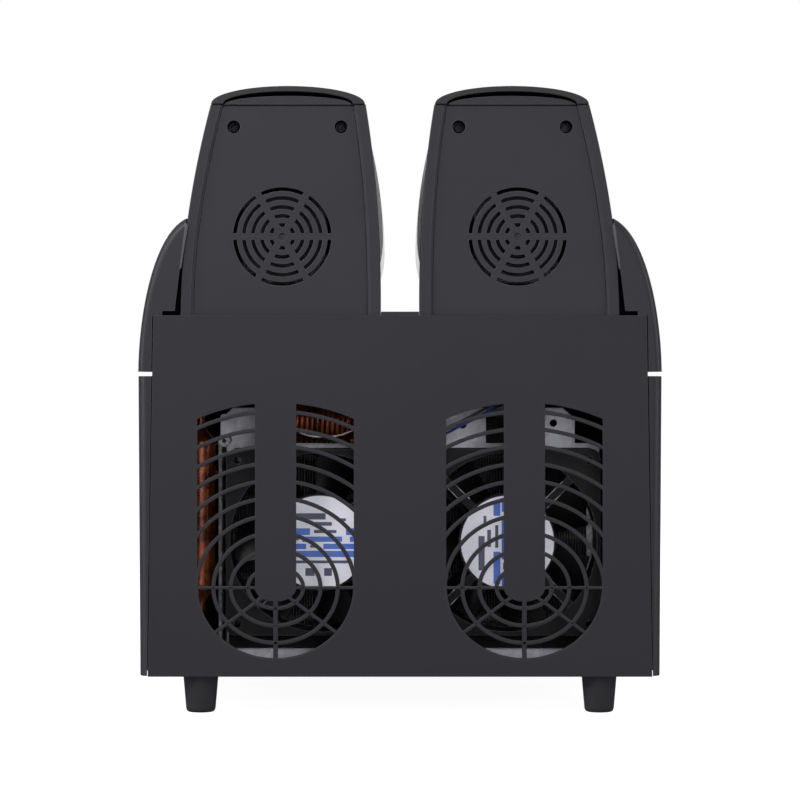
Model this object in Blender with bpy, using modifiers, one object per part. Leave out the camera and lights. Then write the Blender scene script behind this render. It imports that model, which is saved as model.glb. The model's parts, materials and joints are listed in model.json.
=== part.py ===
"""Counter-top frozen drink machine with two bowls. Metres, +Z up, front towards -Y, origin on the floor.

Left and right are as seen from the front, so left is -X. Run with: blender --background --python part.py
"""

import math

import bmesh
import bpy
from mathutils import Matrix, Vector

# Overall box
REAR_Y = 0.210
FRONT_Y = -0.210
HALF_WIDTH = 0.1654
GAP = 0.0003

# Casing heights
FOOT_HEIGHT = 0.0232
BASE_BOTTOM = 0.0235
BASE_TOP = 0.0255
PARTING_LOW = 0.2127
PARTING_HIGH = 0.2154
DECK_TOP = 0.2370
DECK_THICKNESS = 0.0030
PANEL_TOP = 0.2510
PANEL_HALF_TOP = 0.1556
PANEL_HALF_BOTTOM = 0.1590
PANEL_THICKNESS = 0.0015
PANEL_INNER_Y = REAR_Y - PANEL_THICKNESS
FRONT_PANEL_Y = -0.095
SIDE_WALL = 0.0022
SIDE_DRAFT = 0.0012
SIDE_REAR_Y = 0.209
CORNER_RADIUS = 0.007
PLINTH_TOP = 0.056

# Towers and bowls
AXIS_X = 0.0748
AXIS_Z = 0.3020
TOWER_FRONT = 0.118
TOWER_REAR = 0.208
TOWER_WALL = 0.0025
TOWER_BASE = 0.2536
TOWER_TOP = 0.3840
TOWER_CROWN = 0.0055
RIM_WIDTH = 0.0080
ARCH_X = 0.0706
CAP_HALF = 0.0485
CAP_RISE = 0.0113
BOWL_RADIUS = 0.0635
BOWL_WALL = 0.0030
BOWL_FRONT = -0.122
BOWL_REAR = 0.114
BOWL_TOP = 0.3800
VENT_X = 0.0743
VENT_Z = 0.3008
VENT_RINGS = (0.0299, 0.02425, 0.0186, 0.01295, 0.00725)
VENT_SLOT = 0.0023
VENT_SPOKE = 0.0042

# Drive and cooling
DRUM_RADIUS = 0.042
AUGER_INNER = 0.0436
AUGER_OUTER = 0.0565
AUGER_PITCH = 0.066
AUGER_TURNS = 3
SHAFT_RADIUS = 0.005
SHAFT_BORE = 0.0053
FAN_Z = 0.1063
FAN_X = (-0.0688, 0.0516)
FAN_HALF = 0.0597
FAN_FRONT = 0.1403
FAN_DEPTH = 0.038
FAN_OPENING = 0.057
HUB_RADIUS = 0.0314
BLADES = 7

# Rear grilles
GRILLE_X = 0.0784
GRILLE_Z = 0.0793
GRILLE_HALF = 0.0493
GRILLE_DROP = 0.0450
RING_FIRST = 0.0130
RING_PITCH = 0.0109
RING_FLAT = 0.0044
RING_COUNT = 10
RING_BAR = 0.0028
TONGUE_HALF = 0.0130

# Taps
TAP_Y = -0.139
TAP_RADIUS = 0.015
TAP_BOTTOM = 0.214
TAP_TOP = 0.300
TAP_BORE = 0.0094
PORT_Z = 0.254
PORT_RADIUS = 0.008
PISTON_RADIUS = 0.009
PISTON_BOTTOM = 0.245
PISTON_TOP = 0.268
SPRING_TOP = 0.290
PIVOT_Y = -0.157
PIVOT_Z = 0.306
PIVOT_RADIUS = 0.0022

# Controls and tray
CONTROL_Z = 0.190
WINDOW_HALF = (0.0068, 0.0106)
ROCKER_PIVOT_Y = -0.094
ROCKER_SPACING = 0.050
POWER_TILT = math.radians(-7)
TRAY_HALF = 0.1600
TRAY_REAR = -0.097
TRAY_TOP = 0.052

SIDES = (("left", -1), ("right", 1))

PLANES = {
    "plan": Matrix.Identity(4),
    "rear": Matrix.Rotation(math.pi / 2, 4, "X"),
    "side": Matrix(((0, 0, 1, 0), (1, 0, 0, 0), (0, 1, 0, 0), (0, 0, 0, 1))),
}
ACROSS = {"plan": Vector((0, 0, 1)), "rear": Vector((0, 1, 0)), "side": Vector((1, 0, 0))}


def clear_scene():
    for obj in list(bpy.data.objects):
        bpy.data.objects.remove(obj, do_unlink=True)


def make_collection(name):
    collection = bpy.data.collections.new(name)
    bpy.context.scene.collection.children.link(collection)
    return collection


def make_material(name, color, roughness, metallic=0.0, alpha=1.0):
    material = bpy.data.materials.new(name)
    material.use_nodes = True
    shader = material.node_tree.nodes["Principled BSDF"]
    shader.inputs["Base Color"].default_value = (*color, 1.0)
    shader.inputs["Roughness"].default_value = roughness
    shader.inputs["Metallic"].default_value = metallic
    shader.inputs["Alpha"].default_value = alpha
    return material


# Outlines, as lists of (u, v) points


def arc(center, radius_u, radius_v, start, end, steps):
    """Points of an oval arc between two angles in degrees, both ends included."""
    points = []
    for i in range(steps + 1):
        angle = math.radians(start + (end - start) * i / steps)
        points.append((center[0] + radius_u * math.cos(angle), center[1] + radius_v * math.sin(angle)))
    return points


def oval(center, radius_u, radius_v, steps):
    return arc(center, radius_u, radius_v, 0, 360, steps)[:-1]


def rectangle(low, high):
    return [(low[0], low[1]), (high[0], low[1]), (high[0], high[1]), (low[0], high[1])]


def rounded_square(center, half, radius, steps):
    points = []
    for corner, (su, sv) in enumerate(((1, 1), (-1, 1), (-1, -1), (1, -1))):
        middle = (center[0] + su * (half - radius), center[1] + sv * (half - radius))
        points += arc(middle, radius, radius, 90 * corner, 90 * corner + 90, steps)
    return points


def bezier(p0, p1, p2, p3, steps):
    points = []
    for i in range(steps + 1):
        t = i / steps
        s = 1 - t
        weights = (s ** 3, 3 * s * s * t, 3 * s * t * t, t ** 3)
        points.append(tuple(sum(w * p[k] for w, p in zip(weights, (p0, p1, p2, p3))) for k in (0, 1)))
    return points


def offset_line(points, distance):
    """An open line moved sideways, to the left of its direction of travel."""
    moved = []
    for i, (u, v) in enumerate(points):
        before = points[max(i - 1, 0)]
        after = points[min(i + 1, len(points) - 1)]
        along = Vector((after[0] - before[0], after[1] - before[1])).normalized()
        moved.append((u - along.y * distance, v + along.x * distance))
    return moved


def mirrored(loop, sign):
    return [(sign * u, v) for u, v in loop]


# Solids, as meshes in world space


def clean(mesh):
    work = bmesh.new()
    work.from_mesh(mesh)
    bmesh.ops.remove_doubles(work, verts=work.verts, dist=0.000002)
    bmesh.ops.recalc_face_normals(work, faces=work.faces)
    work.to_mesh(mesh)
    work.free()
    return mesh


def evaluated_mesh(obj):
    """The finished mesh of a helper object, which is then removed."""
    bpy.context.scene.collection.objects.link(obj)
    bpy.context.view_layer.update()
    graph = bpy.context.evaluated_depsgraph_get()
    mesh = bpy.data.meshes.new_from_object(obj.evaluated_get(graph))
    bpy.data.objects.remove(obj, do_unlink=True)
    return clean(mesh)


def flat_solid(loops, plane, low, high):
    """A flat outline with any further loops as holes, thick from low to high across its plane."""
    curve = bpy.data.curves.new("outline", "CURVE")
    curve.dimensions = "2D"
    curve.fill_mode = "BOTH"
    curve.extrude = (high - low) / 2
    for loop in loops:
        spline = curve.splines.new("POLY")
        spline.points.add(len(loop) - 1)
        for point, (u, v) in zip(spline.points, loop):
            point.co = (u, v, 0, 1)
        spline.use_cyclic_u = True
    mesh = evaluated_mesh(bpy.data.objects.new("outline", curve))
    mesh.transform(Matrix.Translation(ACROSS[plane] * (low + high) / 2) @ PLANES[plane])
    return mesh


def box(low, high):
    work = bmesh.new()
    bmesh.ops.create_cube(work, size=1)
    size = Vector(high) - Vector(low)
    bmesh.ops.scale(work, vec=size, verts=work.verts)
    bmesh.ops.translate(work, vec=Vector(low) + size / 2, verts=work.verts)
    return finished(work)


def cylinder(start, end, radius, segments=24):
    work = bmesh.new()
    start, end = Vector(start), Vector(end)
    bmesh.ops.create_cone(work, cap_ends=True, segments=segments, radius1=radius, radius2=radius,
                          depth=(end - start).length)
    turn = Vector((0, 0, 1)).rotation_difference(end - start).to_matrix().to_4x4()
    bmesh.ops.transform(work, matrix=Matrix.Translation((start + end) / 2) @ turn, verts=work.verts)
    return finished(work)


def finished(work):
    mesh = bpy.data.meshes.new("solid")
    bmesh.ops.recalc_face_normals(work, faces=work.faces)
    work.to_mesh(mesh)
    work.free()
    return mesh


def turned(profile, place, steps=24, ring=False):
    """A solid of revolution. The profile is (radius, height) down its outer side; place sets its axis."""
    mesh = bpy.data.meshes.new("profile")
    edges = [(i, i + 1) for i in range(len(profile) - 1)]
    if ring:
        edges.append((len(profile) - 1, 0))
    mesh.from_pydata([(radius, 0, height) for radius, height in profile], edges, [])
    helper = bpy.data.objects.new("profile", mesh)
    screw = helper.modifiers.new("Turn", "SCREW")
    screw.steps = steps
    screw.render_steps = steps
    screw.use_merge_vertices = True
    screw.merge_threshold = 0.00001
    result = evaluated_mesh(helper)
    result.transform(place)
    return result


def along_y(x, y, z):
    """Places a turned solid with its axis along +Y."""
    return Matrix.Translation((x, y, z)) @ Matrix.Rotation(-math.pi / 2, 4, "X")


def tube(points, radius, resolution=2):
    curve = bpy.data.curves.new("tube", "CURVE")
    curve.dimensions = "3D"
    curve.bevel_depth = radius
    curve.bevel_resolution = resolution
    curve.use_fill_caps = True
    spline = curve.splines.new("POLY")
    spline.points.add(len(points) - 1)
    for point, place in zip(spline.points, points):
        point.co = (*place, 1)
    return evaluated_mesh(bpy.data.objects.new("tube", curve))


def smooth_path(corners, steps):
    """Points of a smooth line through the corners."""
    ends = [corners[0]] + list(corners) + [corners[-1]]
    points = []
    for i in range(1, len(ends) - 2):
        p0, p1, p2, p3 = (Vector(p) for p in ends[i - 1 : i + 3])
        for k in range(steps):
            t = k / steps
            bend = 2 * p0 - 5 * p1 + 4 * p2 - p3
            sweep = 3 * p1 - p0 - 3 * p2 + p3
            points.append((2 * p1 + (p2 - p0) * t + bend * t * t + sweep * t ** 3) / 2)
    points.append(Vector(corners[-1]))
    return points


# Objects


def add_part(name, mesh, material, origin=(0, 0, 0), smooth=None):
    """A sub-part. Its origin is a point on its joint's axis where it moves."""
    mesh.name = name
    mesh.transform(Matrix.Translation(-Vector(origin)))
    mesh.materials.clear()
    mesh.materials.append(material)
    if smooth:
        mesh.shade_smooth()
        mesh.set_sharp_from_angle(angle=math.radians(smooth))
    obj = bpy.data.objects.new(name, mesh)
    obj.location = origin
    parts.objects.link(obj)
    return obj


def add_helper(mesh, name):
    helper = bpy.data.objects.new(name, mesh)
    helper.hide_render = True
    helper.display_type = "WIRE"
    cutters.objects.link(helper)
    return helper


def combine(part, mesh, operation):
    modifier = part.modifiers.new(operation.title(), "BOOLEAN")
    modifier.operation = operation
    modifier.solver = "EXACT"
    modifier.object = add_helper(mesh, f"{part.name}_{operation.lower()}")


def cut(part, *meshes):
    for mesh in meshes:
        combine(part, mesh, "DIFFERENCE")


def join(part, *meshes):
    for mesh in meshes:
        combine(part, mesh, "UNION")


# Casing


def panel_half_width(z):
    share = (PANEL_TOP - z) / (PANEL_TOP - BASE_BOTTOM)
    return PANEL_HALF_TOP + (PANEL_HALF_BOTTOM - PANEL_HALF_TOP) * share


def rear_opening(margin):
    """The flat rear panel's outline, grown by a margin at its sides."""
    low, high = BASE_BOTTOM - GAP, PANEL_TOP
    half_low, half_high = panel_half_width(low) + margin, panel_half_width(high) + margin
    return [(-half_low, low), (half_low, low), (half_high, high), (-half_high, high)]


def grille_opening(x):
    """An oval below the centre line, straight sides above it and an arched top."""
    center = (x, GRILLE_Z)
    top_v = RING_FIRST + RING_PITCH * RING_COUNT - 0.0055
    top_u = top_v + RING_FLAT
    reach = math.degrees(math.acos(GRILLE_HALF / top_u))
    bottom = arc(center, GRILLE_HALF, GRILLE_DROP, 180, 360, 16)
    return bottom + arc(center, top_u, top_v, reach, 180 - reach, 6)


def grille_cutter(x):
    """The openings between the bars of one rear grille, as one mesh."""
    opening = add_helper(flat_solid([grille_opening(x)], "rear", REAR_Y - 0.006, REAR_Y + 0.004), "grille")
    low, high = REAR_Y - 0.010, REAR_Y + 0.008
    for i in range(RING_COUNT):
        reach = RING_FIRST + RING_PITCH * i
        steps = 12 + 3 * i
        edges = [reach + side * RING_BAR / 2 for side in (1, -1)]
        rings = [oval((x, GRILLE_Z), edge + RING_FLAT, edge, steps) for edge in edges]
        cut(opening, flat_solid(rings, "rear", low, high))
    tongue_end = arc((x, GRILLE_Z), TONGUE_HALF, 0.0088, 180, 360, 6)
    tongue = tongue_end + [(x + TONGUE_HALF, PANEL_TOP), (x - TONGUE_HALF, PANEL_TOP)]
    cut(opening, flat_solid([tongue], "rear", low - 0.001, high + 0.001))
    for angle, width in ((180, 0.0020), (216.5, 0.0022), (270, 0.0030), (323.5, 0.0022), (360, 0.0020)):
        cut(opening, spoke(x, angle, width, low - 0.002, high + 0.002))
    return opening


def spoke(x, angle, width, low, high):
    """A straight bar out from a grille's centre."""
    bar = flat_solid([rectangle((0.004, -width / 2), (0.080, width / 2))], "rear", low, high)
    turn = Matrix.Rotation(math.radians(-angle), 4, "Y")
    bar.transform(Matrix.Translation((x, 0, GRILLE_Z)) @ turn)
    return bar


def make_rear_panel():
    mesh = flat_solid([rear_opening(0)], "rear", PANEL_INNER_Y, REAR_Y)
    panel = add_part("rear_panel", mesh, black_metal)
    for _, sign in SIDES:
        modifier = panel.modifiers.new("Grille", "BOOLEAN")
        modifier.operation = "DIFFERENCE"
        modifier.object = grille_cutter(sign * GRILLE_X)


def make_base():
    plate = box((-0.1585, FRONT_Y + 0.0045, BASE_BOTTOM), (0.1585, PANEL_INNER_Y - 0.0025, BASE_TOP))
    base = add_part("base_plate", plate, galvanised)
    gland = Vector((0.100, 0.020, 0))
    cut(base, cylinder(gland + Vector((0, 0, 0.015)), gland + Vector((0, 0, 0.035)), 0.005))
    profile = [(0.0090, FOOT_HEIGHT), (0.0090, 0.0180), (0.0070, 0.0160), (0.0070, 0.0120),
               (0.0040, 0.0120), (0.0040, FOOT_HEIGHT)]
    sleeve = turned(profile, Matrix.Translation(gland), 16, ring=True)
    add_part("cable_gland", sleeve, black_plastic, smooth=35)
    foot = [(0, FOOT_HEIGHT), (0.0111, FOOT_HEIGHT), (0.0094, 0.0022), (0.0086, 0.0006), (0.0072, 0), (0, 0)]
    for end, y in (("front", -0.185), ("rear", 0.196)):
        for side, sign in SIDES:
            place = Matrix.Translation((sign * 0.1263, y, 0))
            add_part(f"foot_{end}_{side}", turned(foot, place, 16), rubber, smooth=35)


def make_side_panel(side, sign):
    """One lower side: a sheet with a rounded rear corner, low at the front beside the tray."""
    middle = (HALF_WIDTH - CORNER_RADIUS, SIDE_REAR_Y - CORNER_RADIUS)
    outer = [(HALF_WIDTH, FRONT_Y + 0.002)] + arc(middle, CORNER_RADIUS, CORNER_RADIUS, 0, 90, 5)
    outer.append((0.1500, SIDE_REAR_Y))
    loop = outer + offset_line(outer, SIDE_WALL)[::-1]
    mesh = flat_solid([mirrored(loop, sign)], "plan", BASE_BOTTOM, PARTING_LOW)
    for vertex in mesh.vertices:
        vertex.co.x -= sign * SIDE_DRAFT * (PARTING_LOW - vertex.co.z) / (PARTING_LOW - BASE_BOTTOM)
    panel = add_part(f"side_panel_{side}", mesh, black_plastic, smooth=35)
    sweep = bezier((FRONT_PANEL_Y - 0.0006, 0.230), (FRONT_PANEL_Y - 0.0006, 0.105), (-0.125, 0.062),
                   (FRONT_Y - 0.004, PLINTH_TOP), 12)
    above = sweep + [(FRONT_Y - 0.004, 0.230)]
    cut(panel, flat_solid([above], "side", sign * 0.166 - 0.03, sign * 0.166 + 0.03))
    cut(panel, flat_solid([rear_opening(0.0006)], "rear", 0.200, 0.220))


def shoulder_curve():
    low = (HALF_WIDTH, PARTING_HIGH)
    return bezier(low, (HALF_WIDTH - 0.0004, 0.255), (0.155, 0.303), (0.1348, 0.3124), 14)


def make_shoulder(side, sign):
    """One upper side: a curved wall with a rear wall, swept down towards the front."""
    curve = shoulder_curve()
    inner_edge = [(0.1356, 0.3068), (0.1421, 0.2538), (0.1500, 0.2538), (0.1500, PARTING_HIGH)]
    solid = flat_solid([mirrored(curve + inner_edge, sign)], "rear", FRONT_PANEL_Y + 0.0025, SIDE_REAR_Y)
    round_rear_edge(solid, [(sign * u, v) for u, v in curve])
    part = add_part(f"shoulder_{side}", solid, black_plastic, smooth=35)
    hollow = offset_line([(HALF_WIDTH, 0.200)] + curve, 0.0028) + [(0.100, 0.3092), (0.100, 0.200)]
    cut(part, flat_solid([mirrored(hollow, sign)], "rear", -0.12, SIDE_REAR_Y - 0.003))
    cut(part, flat_solid([rear_opening(0.0006)], "rear", 0.200, 0.220))
    sweep = bezier((0.165, 0.3135), (0.100, 0.3135), (0.060, 0.246), (FRONT_PANEL_Y - 0.001, 0.243), 12)
    above = sweep + [(-0.120, 0.243), (-0.120, 0.340), (0.165, 0.340)]
    cut(part, flat_solid([above], "side", sign * 0.150 - 0.04, sign * 0.150 + 0.04))


def round_rear_edge(mesh, curve):
    """Rounds the rear end of the curved outer wall."""
    work = bmesh.new()
    work.from_mesh(mesh)
    bmesh.ops.dissolve_limit(work, angle_limit=0.001, verts=work.verts, edges=work.edges)

    def on_curve(vertex):
        near = min(math.hypot(vertex.co.x - u, vertex.co.z - v) for u, v in curve)
        return near < 0.00005 and abs(vertex.co.y - SIDE_REAR_Y) < 0.00005

    edges = [e for e in work.edges if all(on_curve(v) for v in e.verts)]
    bmesh.ops.bevel(work, geom=edges, offset=0.005, segments=4, profile=0.5, affect="EDGES")
    work.to_mesh(mesh)
    work.free()


def make_deck():
    half = 0.1600
    rear = TOWER_REAR
    corners = [(half, FRONT_PANEL_Y + 0.0025), (half, 0.2045), (0.1500, 0.2045), (0.1500, rear)]
    loop = corners + mirrored(reversed(corners), -1)
    deck = add_part("deck", flat_solid([loop], "plan", DECK_TOP - DECK_THICKNESS, DECK_TOP), black_plastic)
    join(deck, box((-0.0120, rear - 0.0030, DECK_TOP - 0.001), (0.0120, rear - 0.0005, 0.2534)))


def make_front_panel():
    plate = box((-0.1605, FRONT_PANEL_Y, BASE_TOP + GAP), (0.1605, FRONT_PANEL_Y + 0.002, DECK_TOP - 0.0035))
    panel = add_part("front_panel", plate, black_metal)
    cut(panel, box((-0.090, -0.110, CONTROL_Z - 0.018), (0.090, -0.080, CONTROL_Z + 0.018)))


# Towers


def tower_outline(inset, bottom, rise):
    """One tower from behind: two leaning sides and a slightly arched top."""
    outer = bezier((0.1383, TOWER_BASE), (0.1383, 0.298), (0.1295, 0.346), (0.1194, TOWER_TOP), 6)
    inner = bezier((0.0126, TOWER_BASE), (0.0122, 0.300), (0.0150, 0.345), (0.0216, TOWER_TOP), 6)
    outer = [(u - inset, v) for u, v in outer[:-1]] + [(outer[-1][0] - inset, TOWER_TOP)]
    inner = [(u + inset, v) for u, v in inner]
    crown = arc((ARCH_X, TOWER_TOP), CAP_HALF - 0.0082 - inset * 0.5, rise, 0, 180, 8)
    top = [] if rise <= 0 else crown
    return [(outer[0][0], bottom)] + outer + top + inner[::-1] + [(inner[0][0], bottom)]


def lowered(loop, drop):
    """An outline with its top brought down by a wall's thickness."""
    return [(u, v - drop if v > TOWER_TOP - 0.002 else v) for u, v in loop]


def make_tower(side, sign):
    bottom = DECK_TOP + GAP
    outline = mirrored(tower_outline(0, bottom, TOWER_CROWN), sign)
    shell = add_part(f"tower_shell_{side}", flat_solid([outline], "rear", TOWER_FRONT, TOWER_REAR),
                     black_plastic, smooth=35)
    hollow = lowered(tower_outline(TOWER_WALL, bottom - 0.01, TOWER_CROWN), TOWER_WALL)
    cut(shell, flat_solid([mirrored(hollow, sign)], "rear", TOWER_FRONT + TOWER_WALL, TOWER_REAR - 0.0028))
    window = lowered(tower_outline(RIM_WIDTH, 0.245, 0), 0.0002)
    cut(shell, flat_solid([mirrored(window, sign)], "rear", TOWER_REAR - 0.010, TOWER_REAR + 0.010))
    axle = Vector((sign * AXIS_X, 0, AXIS_Z))
    cut(shell, cylinder(axle + Vector((0, 0.100, 0)), axle + Vector((0, 0.130, 0)), 0.007))
    make_tower_cover(side, sign)
    make_tower_cap(side, sign)


def make_tower_cover(side, sign):
    """The inset rear plate of a tower, with its round vent and two screw holes."""
    plate = lowered(tower_outline(RIM_WIDTH + GAP, 0.2453, 0), 0.0005)
    rear = TOWER_REAR - 0.0004
    holes = [oval((x, 0.370), 0.0041, 0.0041, 8) for x in (0.1049, 0.0372)]
    slots = [slot for i in range(len(VENT_RINGS)) for slot in vent_ring(i)]
    loops = [mirrored(loop, sign) for loop in [plate] + holes + slots]
    add_part(f"tower_cover_{side}", flat_solid(loops, "rear", rear - 0.0025, rear), black_plastic)


def vent_ring(index):
    """The six curved slots of one ring, with ends parallel to the spokes between them."""
    middle = VENT_RINGS[index]
    outer, inner = middle + VENT_SLOT / 2, middle - VENT_SLOT / 2
    steps = (3, 3, 2, 2, 1)[index]
    slots = []
    for k in range(6):
        start, end = 60 * k, 60 * k + 60
        trim_outer = math.degrees(math.asin(VENT_SPOKE / 2 / outer))
        trim_inner = math.degrees(math.asin(VENT_SPOKE / 2 / inner))
        rim = arc((VENT_X, VENT_Z), outer, outer, start + trim_outer, end - trim_outer, steps)
        back = arc((VENT_X, VENT_Z), inner, inner, end - trim_inner, start + trim_inner, steps)
        slots.append(rim + back)
    return slots


def make_tower_cap(side, sign):
    """The arched cap on a tower, open at the rear over the tower's own crown."""
    foot = TOWER_TOP + GAP
    arch = arc((ARCH_X, foot), CAP_HALF, CAP_RISE, 0, 180, 18)
    cap = add_part(f"tower_cap_{side}", flat_solid([mirrored(arch, sign)], "rear", TOWER_FRONT + GAP, 0.2095),
                   black_plastic, smooth=35)
    hollow = arc((ARCH_X, foot), CAP_HALF - 0.0075, CAP_RISE - 0.0034, 0, 180, 18)
    hollow += [(ARCH_X - CAP_HALF + 0.0075, foot - 0.01), (ARCH_X + CAP_HALF - 0.0075, foot - 0.01)]
    cut(cap, flat_solid([mirrored(hollow, sign)], "rear", TOWER_FRONT - 0.01, 0.2200))


# Mixing drive, evaporator and bowl


def make_drive(side, sign):
    x = sign * AXIS_X
    front = TOWER_FRONT + TOWER_WALL + GAP
    gearbox = box((x - 0.028, front, AXIS_Z - 0.030), (x + 0.028, front + 0.030, AXIS_Z + 0.030))
    motor = add_part(f"gear_motor_{side}", gearbox, motor_metal, smooth=35)
    join(motor, cylinder((x, front + 0.028, AXIS_Z), (x, 0.196, AXIS_Z), 0.027, 28))
    cut(motor, cylinder((x, front - 0.01, AXIS_Z), (x, front + 0.012, AXIS_Z), SHAFT_BORE, 16))
    axis = (x, 0, AXIS_Z)
    shaft = cylinder((x, -0.0985, AXIS_Z), (x, front + 0.0115, AXIS_Z), SHAFT_RADIUS, 16)
    add_part(f"drive_shaft_{side}", shaft, steel, origin=axis, smooth=35)
    drum = [(0.007, TOWER_FRONT - GAP), (DRUM_RADIUS, TOWER_FRONT - GAP), (DRUM_RADIUS, -0.076),
            (0.040, -0.082), (0.036, -0.085), (0.007, -0.085)]
    add_part(f"evaporator_{side}", turned(drum, along_y(x, 0, AXIS_Z), 32, ring=True), steel, smooth=35)
    make_auger(side, x)


def auger_ribbon(x):
    """The helical blade: a radial edge turned and drawn along the drum, then thickened."""
    mesh = bpy.data.meshes.new("blade")
    mesh.from_pydata([(AUGER_INNER, 0, 0), (AUGER_OUTER, 0, 0)], [(0, 1)], [])
    helper = bpy.data.objects.new("blade", mesh)
    screw = helper.modifiers.new("Helix", "SCREW")
    screw.screw_offset = AUGER_PITCH
    screw.iterations = AUGER_TURNS
    screw.steps = 15
    screw.render_steps = 15
    thick = helper.modifiers.new("Blade", "SOLIDIFY")
    thick.thickness = 0.003
    thick.offset = 0
    blade = evaluated_mesh(helper)
    blade.transform(along_y(x, -0.0925, AXIS_Z))
    return blade


def make_auger(side, x):
    auger = add_part(f"auger_{side}", auger_ribbon(x), white_plastic, origin=(x, 0, AXIS_Z), smooth=35)
    tilt = Matrix.Translation((x, 0, AXIS_Z)) @ Matrix.Rotation(math.radians(25), 4, "Y")
    for near in (0.0448, -0.0508):
        rail = box((near, -0.0950, -0.003), (near + 0.006, 0.1060, 0.003))
        rail.transform(tilt)
        join(auger, rail)
    arm = box((-0.0495, -0.0962, -0.0045), (0.0495, -0.0885, 0.0045))
    arm.transform(tilt)
    join(auger, arm, cylinder((x, -0.1060, AXIS_Z), (x, -0.0880, AXIS_Z), 0.013, 20))
    cut(auger, cylinder((x, -0.0990, AXIS_Z), (x, -0.0800, AXIS_Z), SHAFT_BORE, 16))


def bowl_outline(inset, top):
    """One bowl from behind: round below, nearly upright sides, narrower at the rim."""
    radius = BOWL_RADIUS - inset
    bottom = arc((AXIS_X, AXIS_Z), radius, radius, 180, 360, 16)
    outer = bezier((AXIS_X + BOWL_RADIUS, AXIS_Z), (0.1383, 0.335), (0.1280, 0.357), (0.1205, BOWL_TOP), 6)
    inner = bezier((AXIS_X - BOWL_RADIUS, AXIS_Z), (0.0113, 0.330), (0.0155, 0.352), (0.0225, BOWL_TOP), 6)
    outer = [(u - inset, v) for u, v in outer[1:]]
    inner = [(u + inset, v) for u, v in inner[1:]]
    cap = [(outer[-1][0], top), (inner[-1][0], top)] if top > BOWL_TOP else []
    return bottom + outer + cap + inner[::-1]


def make_bowl(side, sign):
    bowl = add_part(f"bowl_{side}",
                    flat_solid([mirrored(bowl_outline(0, BOWL_TOP), sign)], "rear", BOWL_FRONT, BOWL_REAR),
                    clear_plastic, smooth=35)
    room = mirrored(bowl_outline(BOWL_WALL, BOWL_TOP + 0.02), sign)
    cut(bowl, flat_solid([room], "rear", BOWL_FRONT + BOWL_WALL, BOWL_REAR + 0.02))
    port = Vector((sign * AXIS_X, 0, PORT_Z))
    cut(bowl, cylinder(port + Vector((0, -0.13, 0)), port + Vector((0, -0.11, 0)), PORT_RADIUS, 16))
    seal = [mirrored(bowl_outline(inset, BOWL_TOP), sign) for inset in (0, BOWL_WALL)]
    seal[1] = [(u, v - BOWL_WALL if v > BOWL_TOP - 0.0005 else v) for u, v in seal[1]]
    add_part(f"bowl_seal_{side}", flat_solid(seal, "rear", BOWL_REAR + GAP, TOWER_FRONT - GAP), seal_rubber)
    make_lid(side, sign)


def make_lid(side, sign):
    """The arched lid, resting on the bowl's rim."""
    foot = BOWL_TOP + GAP
    middle = (0.0715, foot)
    outer = arc(middle, 0.0505, 0.0140, 0, 180, 18)
    lid = add_part(f"lid_{side}", flat_solid([mirrored(outer, sign)], "rear", BOWL_FRONT - 0.0015, BOWL_REAR),
                   black_plastic, smooth=35)
    hollow = arc(middle, 0.0472, 0.0110, 0, 180, 18)
    hollow += [(middle[0] - 0.0472, foot - 0.01), (middle[0] + 0.0472, foot - 0.01)]
    cut(lid, flat_solid([mirrored(hollow, sign)], "rear", BOWL_FRONT + 0.0015, BOWL_REAR - 0.003))


# Taps


def make_tap(side, sign):
    x = sign * AXIS_X
    body = add_part(f"tap_body_{side}", cylinder((x, TAP_Y, TAP_BOTTOM), (x, TAP_Y, TAP_TOP), TAP_RADIUS, 20),
                    black_plastic, smooth=35)
    join(body, cylinder((x, TAP_Y, PORT_Z), (x, BOWL_FRONT - GAP, PORT_Z), 0.012, 16))
    join(body, box((x - 0.0130, PIVOT_Y - 0.006, 0.2940), (x + 0.0130, TAP_Y - 0.004, 0.2985)))
    for ear in (-1, 1):
        low, high = sorted((x + ear * 0.0102, x + ear * 0.0128))
        join(body, box((low, PIVOT_Y - 0.0055, 0.2950), (high, PIVOT_Y + 0.0055, PIVOT_Z + 0.005)))
    cut(body, cylinder((x, TAP_Y, TAP_BOTTOM - 0.01), (x, TAP_Y, SPRING_TOP + 0.0003), TAP_BORE, 20))
    cut(body, cylinder((x, TAP_Y, PORT_Z), (x, BOWL_FRONT + 0.01, PORT_Z), PORT_RADIUS, 12))
    cut(body, cylinder((x, TAP_Y, SPRING_TOP - 0.005), (x, TAP_Y, TAP_TOP + 0.01), 0.0034, 12))
    cut(body, cylinder((x - 0.02, PIVOT_Y, PIVOT_Z), (x + 0.02, PIVOT_Y, PIVOT_Z), PIVOT_RADIUS + 0.0003, 10))
    make_plunger(side, x)
    make_lever(side, x)
    make_spring(side, x)


def make_plunger(side, x):
    profile = [(0, 0.3115), (0.0050, 0.3115), (0.0050, 0.3085), (0.0030, 0.3085), (0.0030, PISTON_TOP),
               (PISTON_RADIUS, PISTON_TOP), (PISTON_RADIUS, PISTON_BOTTOM + 0.002), (0.007, PISTON_BOTTOM),
               (0, PISTON_BOTTOM)]
    mesh = turned(profile, Matrix.Translation((x, TAP_Y, 0)), 20)
    add_part(f"tap_plunger_{side}", mesh, white_plastic, origin=(x, TAP_Y, PISTON_BOTTOM), smooth=35)


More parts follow.
